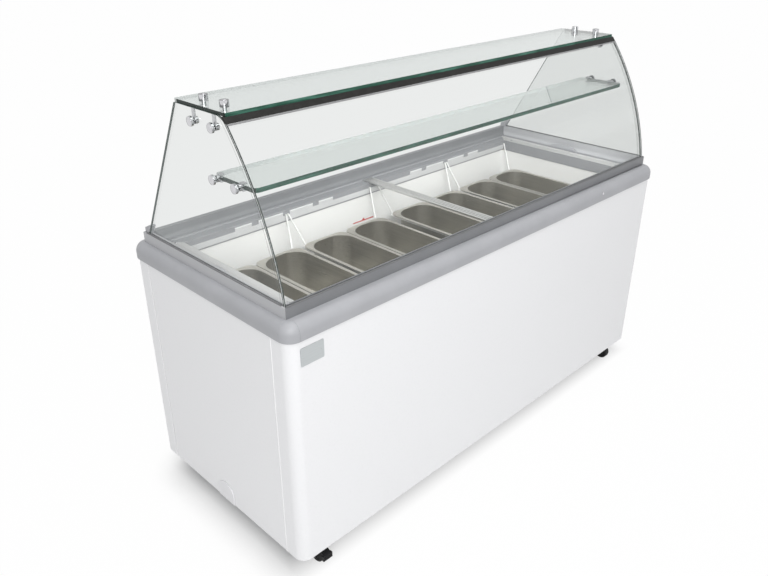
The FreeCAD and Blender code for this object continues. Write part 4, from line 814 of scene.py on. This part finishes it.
def disc(mesh: bmesh.types.BMesh, profile: Outline, place: Matrix, steps: int) -> None:
    """Turn a profile about the local Z axis.

    Args:
        mesh: The mesh that takes the faces.
        profile: Radius and height of each ring, from the foot to the crown.
        place: Where the piece stands.
        steps: Number of sides.
    """
    rings = []
    for radius, height in profile:
        if radius < 1e-9:
            rings.append([mesh.verts.new(place @ Vector((0.0, 0.0, height)))])
            continue
        ring = []
        for step in range(steps):
            turn = 2 * math.pi * step / steps
            point = Vector((radius * math.cos(turn), radius * math.sin(turn), height))
            ring.append(mesh.verts.new(place @ point))
        rings.append(ring)
    for lower, upper in zip(rings, rings[1:]):
        for step in range(steps):
            after = (step + 1) % steps
            if len(upper) == 1:
                mesh.faces.new((lower[step], lower[after], upper[0]))
            else:
                mesh.faces.new((lower[step], lower[after], upper[after], upper[step]))
    mesh.faces.new(tuple(reversed(rings[0])))
    if len(rings[-1]) > 1:
        mesh.faces.new(tuple(rings[-1]))


def slab(mesh: bmesh.types.BMesh, outline: Outline, low: float, high: float, place: Matrix) -> None:
    """Raise a closed outline along the local Z axis.

    Args:
        mesh: The mesh that takes the faces.
        outline: The outline, anticlockwise.
        low: Height of the foot.
        high: Height of the crown.
        place: Where the piece stands.
    """
    foot = [mesh.verts.new(place @ Vector((across, up, low))) for across, up in outline]
    crown = [mesh.verts.new(place @ Vector((across, up, high))) for across, up in outline]
    count = len(outline)
    for step in range(count):
        after = (step + 1) % count
        mesh.faces.new((foot[step], foot[after], crown[after], crown[step]))
    mesh.faces.new(tuple(reversed(foot)))
    mesh.faces.new(tuple(crown))


def soft_outline(width: float, height: float, radius: float, steps: int = 6) -> Outline:
    """A rectangle about the middle with rounded corners, anticlockwise.

    Args:
        width: Full width.
        height: Full height.
        radius: Corner radius.
        steps: Points in each corner.

    Returns:
        The outline's points.
    """
    points = []
    corners = ((1, -1, -90), (1, 1, 0), (-1, 1, 90), (-1, -1, 180))
    for x_side, y_side, start in corners:
        for step in range(steps + 1):
            turn = math.radians(start + 90 * step / steps)
            across = x_side * (width / 2 - radius) + radius * math.cos(turn)
            points.append((across, y_side * (height / 2 - radius) + radius * math.sin(turn)))
    return points


def shift(x: float, y: float, z: float) -> Matrix:
    """A move along the three axes."""
    return Matrix.Translation(Vector((x, y, z)))


def looking(point: Point, towards: Point) -> Matrix:
    """A place whose local Z axis points a given way."""
    turn = Vector(towards).to_track_quat("Z", "Y").to_matrix().to_4x4()
    return shift(*point) @ turn


# Turns an outline's plane so that it is raised along X
ALONG_X = Matrix(((0.0, 0.0, 1.0, 0.0), (1.0, 0.0, 0.0, 0.0), (0.0, 1.0, 0.0, 0.0), (0.0, 0.0, 0.0, 1.0)))

# A finish, the rounding of the edges, and the names of the CAD nodes that have them
Coat = tuple[Any, ...]


@dataclass
class Assembly(ABC):
    """A part of the cabinet with its own pieces and finishes."""

    shop: Workshop
    coats: tuple[Coat, ...] = ()

    def dress(self) -> None:
        """Give the CAD nodes their finishes and rounded edges."""
        for finish, edge, *names in self.coats:
            self.shop.dress(names, finish, edge)

    @abstractmethod
    def build(self) -> None:
        """Add the fine pieces."""


@dataclass
class Body(Assembly):
    """The painted sheet metal body with its plain plate and drain cover."""

    coats: tuple[Coat, ...] = (
        (WHITE_PANEL, Edge.FOLD, "front_panel", "left_side_panel", "right_side_panel", "rear_panel"),
        (WHITE_PANEL, Edge.FINE, "rear_grille"),
        (GALVANISED, Edge.PLATE, "floor_pan"),
        (FOAM, Edge.PLAIN, "insulation"),
        (DRAIN_WHITE, Edge.CASING, "drain_cover"),
        (DRAIN_GREY, Edge.PLAIN, "drain_tube"),
    )
    front: float = -0.330
    side: float = 0.800
    plate_left: float = -0.769
    plate_right: float = -0.702
    plate_low: float = 0.648
    plate_high: float = 0.695
    plate_wall: float = 0.0012
    plate_corner: float = 0.003
    border: float = 0.0022
    border_slope: float = 0.0006
    border_rise: float = 0.0004
    rivet_inset: float = 0.006
    rivet: Outline = ((0.0016, 0.0), (0.0014, 0.0006), (0.0007, 0.0010), (0.0, 0.0011))
    seam: float = 0.2655
    seam_low: float = 0.0725
    seam_high: float = 0.7145
    bead: Rounded = (0.0014, 0.0030, 0.0006)

    def plate(self) -> None:
        """A plain metal plate with a raised border and two rivets."""
        width = self.plate_right - self.plate_left
        height = self.plate_high - self.plate_low
        across = (self.plate_left + self.plate_right) / 2
        place = looking((across, self.front, (self.plate_low + self.plate_high) / 2), FORWARD)
        mesh = bmesh.new()
        slab(mesh, soft_outline(width, height, self.plate_corner), 0.0, self.plate_wall, place)
        broad = [face for face in mesh.faces if len(face.verts) > 4]
        outer = max(broad, key=lambda face: -face.calc_center_median().y)
        bmesh.ops.inset_region(mesh, faces=[outer], thickness=self.border, depth=0.0)
        bmesh.ops.inset_region(mesh, faces=[outer], thickness=self.border_slope, depth=-self.border_rise)
        for side in BOTH:
            spot = shift(side * (width / 2 - self.rivet_inset), 0.0, self.plate_wall - self.border_rise)
            disc(mesh, self.rivet, place @ spot, 16)
        self.shop.piece("front_plate", mesh, PLATE_METAL, "cabinet", "galvanised", smooth=True)

    def seams(self) -> None:
        """Fine beads where the front and rear sheets are folded over the end panels, painted whiter than
        the panels as a painted highlight along each seam.
        """
        mesh = bmesh.new()
        for across in BOTH:
            for deep in BOTH:
                place = shift(across * self.side, deep * self.seam, 0.0)
                slab(mesh, soft_outline(*self.bead, 3), self.seam_low, self.seam_high, place)
        self.shop.piece("side_seams", mesh, SEAM_HIGHLIGHT, "cabinet", "white_panel")

    def build(self) -> None:
        """Add the plate and the seams."""
        self.plate()
        self.seams()


@dataclass
class Rim(Assembly):
    """The grey bumper, lip and ledge round the top of the body, with their screws."""

    coats: tuple[Coat, ...] = (
        (BUMPER, Edge.RAIL, "bumper_rails", "bumper_corners"),
        (LIP, Edge.PLAIN, "lip_rails"),
        (LEDGE, Edge.LEDGE, "ledge_frame"),
        (STRIP, Edge.STRIP, "hanger_strips"),
        (BUMPER, Edge.LEDGE, "glass_retainers"),
        (GASKET, Edge.FINE, "glass_gaskets"),
        (SEAL, Edge.FINE, "joint_strip"),
    )
    screw_radius: float = 0.0048
    screw_dome: Outline = (
        (1.0, 0.0), (1.0, 0.0003), (0.8, 0.0009), (0.45, 0.0013),
        (0.2, 0.0013), (0.16, 0.0006), (0.0, 0.0006),
    )
    spots: tuple[tuple[Point, Point], ...] = (
        ((0.469, -0.3343, 0.739), (0.0, -0.97, 0.22)),
        ((0.469, 0.3343, 0.739), (0.0, 0.97, 0.22)),
        ((-0.469, 0.3343, 0.739), (0.0, 0.97, 0.22)),
        ((-0.719, 0.247, 0.753), UP),
        ((0.719, 0.212, 0.753), UP),
        ((-0.719, -0.230, 0.753), UP),
        ((0.719, -0.230, 0.753), UP),
    )
    tabs: Outline = ((0.2045, 0.057), (0.3015, 0.088), (0.4155, 0.088), (0.5125, 0.057))
    tab_face: float = 0.2349
    tab_level: float = 0.7456
    tab_highlight_bead: Rounded = (0.0028, 0.0034, 0.0008)

    def screws(self) -> None:
        """Domed screws with a recess, in the bumper and the ledge."""
        mesh = bmesh.new()
        head = [(share * self.screw_radius, height) for share, height in self.screw_dome]
        for point, towards in self.spots:
            disc(mesh, head, looking(point, towards), 24)
        self.shop.piece("rim_screws", mesh, CHROME, "cabinet", "caster_steel", smooth=True)

    def tab_highlights(self) -> None:
        """Painted highlights: white beads along the upper edges of the strips' tabs, where light catches
        them.
        """
        mesh = bmesh.new()
        for across in BOTH:
            for deep in BOTH:
                for middle, width in self.tabs:
                    place = shift(across * middle, deep * self.tab_face, self.tab_level) @ ALONG_X
                    slab(mesh, soft_outline(*self.tab_highlight_bead, 2), -width / 2, width / 2, place)
        self.shop.piece("tab_highlights", mesh, MARK_AND_HIGHLIGHT_WHITE, "cabinet", "strip_white")

    def build(self) -> None:
        """Add the screws and the painted highlights on the tabs."""
        self.screws()
        self.tab_highlights()


@dataclass
class Canopy(Assembly):
    """The glass canopy, its shelf and its chrome fittings."""

    coats: tuple[Coat, ...] = (
        (END_GLASS, Edge.PLAIN, "end_glass_left", "end_glass_right"),
        (FRONT_GLASS, Edge.PLAIN, "front_glass"),
        (TOP_GLASS, Edge.PLAIN, "top_glass"),
        (SHELF_GLASS, Edge.PLAIN, "shelf_glass"),
        (BUSHED, Edge.FITTING, "top_connectors"),
        (CHROME, Edge.FITTING, "shelf_clamps"),
    )
    joints: Outline = ((-0.0799, 1.135), (0.0001, 1.135))
    clamps: Outline = ((-0.148, 1.017), (-0.064, 1.017))
    disc_face: float = 0.781
    bolt_x: float = 0.739
    cap_top: float = 1.188
    ring: Outline = ((0.0062, -0.0004), (0.0062, 0.0006), (0.0050, 0.0010), (0.0040, 0.0004), (0.0, 0.0004))
    dome: Outline = ((0.0100, -0.0002), (0.0098, 0.0004), (0.0080, 0.0009), (0.0050, 0.0011), (0.0, 0.0011))
    trim: Outline = ((-0.13959, 1.1485), (-0.13721, 1.1516), (-0.13784, 1.1521), (-0.14022, 1.1490))
    trim_half: float = 0.7745

    def crowns(self) -> None:
        """Raised rings on the caps and shallow domes on the discs."""
        mesh = bmesh.new()
        for side in BOTH:
            for depth, _ in self.joints:
                disc(mesh, self.ring, looking((side * self.bolt_x, depth, self.cap_top), UP), 24)
            for depth, level in (*self.joints, *self.clamps):
                place = looking((side * self.disc_face, depth, level), (side, 0.0, 0.0))
                disc(mesh, self.dome, place, 28)
        self.shop.piece("fitting_crowns", mesh, CHROME, "cabinet", "chrome_fitting", smooth=True)

    def strip_trim(self) -> None:
        """A narrow grey trim under the black strip."""
        mesh = bmesh.new()
        slab(mesh, self.trim, -self.trim_half, self.trim_half, ALONG_X)
        self.shop.piece("strip_trim", mesh, TRIM, "cabinet", "black_seal")

    def build(self) -> None:
        """Add the crowns and the trim."""
        self.crowns()
        self.strip_trim()


@dataclass
class Well(Assembly):
    """The white well, the eight pans, their wire frames and the load line."""

    coats: tuple[Coat, ...] = (
        (LINER, Edge.PLAIN, "liner"),
        (PAN_STEEL, Edge.PLAIN, *(f"pan_{number}" for number in range(1, 9))),
        (WIRE_DIP, Edge.PLAIN, "pan_frames"),
        (BAR_METAL, Edge.FINE, "centre_bar"),
        (COPPER, Edge.PLAIN, "evaporator_tube"),
    )
    wall: float = 0.238
    line_left: float = -0.089
    line_right: float = 0.002
    line_low: float = 0.629
    line_high: float = 0.6325
    line_wall: float = 0.0004
    arrow_half: float = 0.006
    arrow_rise: float = 0.008

    def load_line(self) -> None:
        """A red line with an arrow on the rear wall, above which nothing is loaded."""
        place = looking((0.0, self.wall, 0.0), FORWARD)
        mesh = bmesh.new()
        left, right = self.line_left, self.line_right
        low, high = self.line_low, self.line_high
        middle = (left + right) / 2
        stroke = ((left, low), (right, low), (right, high), (left, high))
        slab(mesh, stroke, 0.0, self.line_wall, place)
        foot = ((middle - self.arrow_half, high), (middle + self.arrow_half, high))
        slab(mesh, (*foot, (middle, high + self.arrow_rise)), 0.0, self.line_wall, place)
        self.shop.piece("load_line", mesh, LOAD_RED, "cabinet", "liner_white", smooth=True)

    def build(self) -> None:
        """Add the load line."""
        self.load_line()


@dataclass
class Machinery(Assembly):
    """The compressor, condenser and fan, with the grille and controls at the rear face."""

    coats: tuple[Coat, ...] = (
        (BLACK_ENAMEL, Edge.CASING, "compressor", "fan_motor"),
        (FIN_METAL, Edge.PLAIN, "condenser"),
        (FIN_METAL, Edge.BLADE, "fan_blade"),
        (BLACK_PLASTIC, Edge.PLATE, "control_plate", "thermostat_knob", "power_inlet"),
        (SWITCH_RED, Edge.PLATE, "power_switch"),
    )
    knob_x: float = 0.132
    pilot_x: float = 0.180
    control_level: float = 0.165
    tray_floor: float = 0.314
    tick_reach: float = 0.025
    tick_from: float = -135.0
    tick_turn: float = 30.0
    tick_count: int = 10
    tick: Rounded = (0.0012, 0.005, 0.0004)
    mark_wall: float = 0.0004
    grip_face: float = 0.3288
    pointer: Rounded = (0.0016, 0.010, 0.0006)
    pointer_rise: float = 0.010
    sink: float = 0.0001
    lens: Outline = ((0.0046, 0.0004), (0.0044, 0.0022), (0.0034, 0.0036), (0.0018, 0.0044), (0.0, 0.0046))
    bezel: Outline = ((0.0064, 0.0), (0.0064, 0.0010), (0.0058, 0.0016), (0.0048, 0.0016), (0.0046, 0.0002))
    rear_face: float = 0.330
    grille_face: float = 0.3315
    louvre_left: float = 0.346
    louvre_right: float = 0.614
    louvre_low: float = 0.110
    louvre_pitch: float = 0.013
    louvre_count: int = 9
    hood: Outline = ((0.0, 0.0074), (0.0030, 0.0022), (0.0036, 0.0028), (0.0006, 0.0092), (0.0, 0.0092))
    screw_head: Outline = (
        (0.0040, 0.0), (0.0040, 0.0006), (0.0032, 0.0014),
        (0.0012, 0.0017), (0.0010, 0.0009), (0.0, 0.0009),
    )
    grille_columns: tuple[float, ...] = (0.338, 0.622)
    grille_rows: tuple[float, ...] = (0.100, 0.234)
    panel_columns: tuple[float, ...] = (-0.745, 0.0, 0.745)
    panel_rows: tuple[float, ...] = (0.300, 0.690)

    def dial(self) -> None:
        """Raised ticks round the thermostat knob and a pointer on its grip."""
        mesh = bmesh.new()
        place = looking((self.knob_x, self.tray_floor, self.control_level), REARWARD)
        for step in range(self.tick_count):
            turn = Matrix.Rotation(math.radians(self.tick_from + self.tick_turn * step), 4, "Z")
            spot = place @ turn @ shift(0.0, self.tick_reach, 0.0)
            slab(mesh, soft_outline(*self.tick, 2), 0.0, self.mark_wall, spot)
        self.shop.piece("dial_ticks", mesh, MARK_AND_HIGHLIGHT_WHITE, "cabinet", "strip_white")
        mesh = bmesh.new()
        tip = looking((self.knob_x, self.grip_face, self.control_level + self.pointer_rise), REARWARD)
        slab(mesh, soft_outline(*self.pointer, 3), -self.sink, self.mark_wall, tip)
        self.shop.piece("knob_pointer", mesh, MARK_AND_HIGHLIGHT_WHITE, "knob", "black_plastic")

    def pilot(self) -> None:
        """An amber pilot lamp in a dark ring between the knob and the switch."""
        place = looking((self.pilot_x, self.tray_floor, self.control_level), REARWARD)
        rounds = (("pilot_lens", self.lens, PILOT_AMBER), ("pilot_bezel", self.bezel, BLACK_PLASTIC))
        for name, profile, finish in rounds:
            mesh = bmesh.new()
            disc(mesh, profile, place, 28)
            self.shop.piece(name, mesh, finish, "cabinet", "black_plastic", smooth=True)

    def louvres(self) -> None:
        """A sloping hood over each slot of the rear grille."""
        mesh = bmesh.new()
        for row in range(self.louvre_count):
            low = self.louvre_low + row * self.louvre_pitch
            hood = [(self.grille_face + out, low + up) for out, up in self.hood]
            slab(mesh, hood, self.louvre_left, self.louvre_right, ALONG_X)
        self.shop.piece("grille_louvres", mesh, WHITE_PANEL, "cabinet", "white_panel")

    def screws(self) -> None:
        """Pan-head screws at the grille's corners and down the rear panel's edges."""
        mesh = bmesh.new()
        spots = [(x, self.grille_face, z) for x in self.grille_columns for z in self.grille_rows]
        spots += [(x, self.rear_face, z) for x in self.panel_columns for z in self.panel_rows]
        for spot in spots:
            disc(mesh, self.screw_head, looking(spot, REARWARD), 20)
        self.shop.piece("rear_screws", mesh, ZINC, "cabinet", "caster_steel", smooth=True)

    def build(self) -> None:
        """Add the pieces at the rear face."""
        self.dial()
        self.pilot()
        self.louvres()
        self.screws()


@dataclass
class Casters(Assembly):
    """The four swivel casters with their bolts and pedal ribs."""

    corners: tuple[tuple[str, int, int], ...] = (
        ("front_left", -1, -1),
        ("front_right", 1, -1),
        ("rear_left", -1, 1),
        ("rear_right", 1, 1),
    )
    braked: tuple[str, ...] = ("front_left", "rear_right")
    coats: tuple[Coat, ...] = (
        (ZINC, Edge.PLATE, "caster_plates"),
        (CASTER_BLACK, Edge.PLATE, *(f"caster_fork_{name}" for name, _, _ in corners)),
        (ZINC, Edge.FINE, *(f"caster_axle_{name}" for name, _, _ in corners)),
        (TYRE, Edge.PLAIN, *(f"caster_wheel_{name}" for name, _, _ in corners)),
        (PEDAL, Edge.RAIL, *(f"brake_pedal_{name}" for name in braked)),
    )
    middle_x: float = 0.716
    middle_y: float = 0.272
    plate_low: float = 0.069
    bolt_reach: float = 0.023
    bolt_head: Outline = ((0.0045, -0.0001), (0.0045, 0.0026), (0.0040, 0.0030), (0.0, 0.0030))
    pedal_tip: float = 0.328
    rib_levels: tuple[float, ...] = (0.031, 0.035, 0.039)
    rib: Rounded = (0.024, 0.0016, 0.0006)
    rib_sink: float = 0.0001
    rib_rise: float = 0.0006

    def bolts(self) -> None:
        """Four hexagon heads under each caster plate."""
        mesh = bmesh.new()
        for _, x_side, y_side in self.corners:
            for across in BOTH:
                for deep in BOTH:
                    x = x_side * self.middle_x + across * self.bolt_reach
                    y = y_side * self.middle_y + deep * self.bolt_reach
                    disc(mesh, self.bolt_head, looking((x, y, self.plate_low), DOWN), 6)
        self.shop.piece("caster_bolts", mesh, ZINC, "cabinet", "caster_steel")

    def ribs(self) -> None:
        """Raised ribs across the tread of each brake pedal."""
        for name, x_side, y_side in self.corners:
            if name not in self.braked:
                continue
            mesh = bmesh.new()
            for level in self.rib_levels:
                point = (x_side * self.middle_x, y_side * self.pedal_tip, level)
                place = looking(point, (0.0, y_side, 0.0))
                slab(mesh, soft_outline(*self.rib, 3), -self.rib_sink, self.rib_rise, place)
            self.shop.piece(f"pedal_ribs_{name}", mesh, PEDAL, f"pedal_{name}", "pedal_black")

    def build(self) -> None:
        """Add the bolts and the ribs."""
        self.bolts()
        self.ribs()


@dataclass(frozen=True)
class Lamp:
    """One soft rectangular lamp; a hidden one isn't seen in gloss."""

    name: str
    point: Point
    aim: Point
    width: float
    height: float
    power: float
    hidden: bool = False

    def build(self) -> None:
        """Put the lamp in the scene."""
        data = bpy.data.lights.new(self.name, "AREA")
        data.shape = "RECTANGLE"
        data.size = self.width
        data.size_y = self.height
        data.energy = self.power
        lamp = put(self.name, data)
        lamp.matrix_world = looking(self.point, tuple(Vector(self.point) - Vector(self.aim)))
        lamp.visible_camera = not self.hidden
        lamp.visible_glossy = not self.hidden
        lamp.visible_transmission = not self.hidden


@dataclass
class Studio:
    """Pale floor, soft lamps, white surround and the camera."""

    eye: Point = (-1.6109, -1.4352, 1.5443)
    back: Point = (-0.6285, -0.6321, 0.4532)
    lens: float = 34.87
    sensor: float = 36.0
    sight: float = 200.0
    floor_reach: float = 60.0
    surround: float = 0.44
    surround_colour: Colour = (0.99, 0.995, 1.0)
    lamps: tuple[Lamp, ...] = (
        Lamp("key", (-2.6, -3.0, 2.8), (-0.3, 0.0, 0.6), 2.4, 2.4, 95.0),
        Lamp("top", (-0.2, -1.0, 3.4), (0.0, 0.1, 0.6), 2.0, 2.0, 30.0),
        Lamp("well", (0.0, -0.20, 0.93), (0.0, 0.24, 0.60), 1.3, 0.12, 3.0, hidden=True),
    )

    def floor(self) -> None:
        """A wide pale floor under the cabinet."""
        mesh = bpy.data.meshes.new("floor")
        corners = ((-1, -1), (1, -1), (1, 1), (-1, 1))
        points = [(across * self.floor_reach, deep * self.floor_reach, 0.0) for across, deep in corners]
        mesh.from_pydata(points, [], [(0, 1, 2, 3)])
        mesh.materials.append(StudioFloor("studio_floor").material())
        ground = put("floor", mesh)

    def world(self) -> None:
        """A white surround to the eye that lights the cabinet at a plain level."""
        scene = bpy.context.scene
        scene.world = bpy.data.worlds.new("surround")
        scene.world.use_nodes = True
        graph = Graph(scene.world.node_tree)
        seen = graph.rays(Ray.CAMERA, Ray.GLOSSY, Ray.TRANSMISSION)
        white = graph.add("ShaderNodeBackground", {}, {"Color": WHITE, "Strength": 1.0})
        values = {"Color": self.surround_colour, "Strength": self.surround}
        light = graph.add("ShaderNodeBackground", {}, values)
        graph.finish(graph.blend(seen, light, white), "ShaderNodeOutputWorld")

    def camera(self) -> None:
        """The photograph's viewpoint."""
        data = bpy.data.cameras.new("camera")
        data.sensor_width = self.sensor
        data.lens = self.lens
        data.clip_end = self.sight
        eye = put("camera", data)
        eye.matrix_world = looking(self.eye, self.back)
        bpy.context.scene.camera = eye

    def build(self) -> None:
        """Set up everything that isn't part of the cabinet."""
        bpy.context.scene.view_settings.view_transform = "Standard"
        self.floor()
        self.world()
        for lamp in self.lamps:
            lamp.build()
        self.camera()


def main() -> None:
    """Build the studio, then dress and complete each sub-assembly."""
    logging.basicConfig(level=logging.INFO, format="%(name)s: %(message)s")
    Studio().build()
    shop = Workshop()
    for kind in (Body, Rim, Canopy, Well, Machinery, Casters):
        assembly = kind(shop)
        assembly.dress()
        assembly.build()


if __name__ == "__main__":
    main()
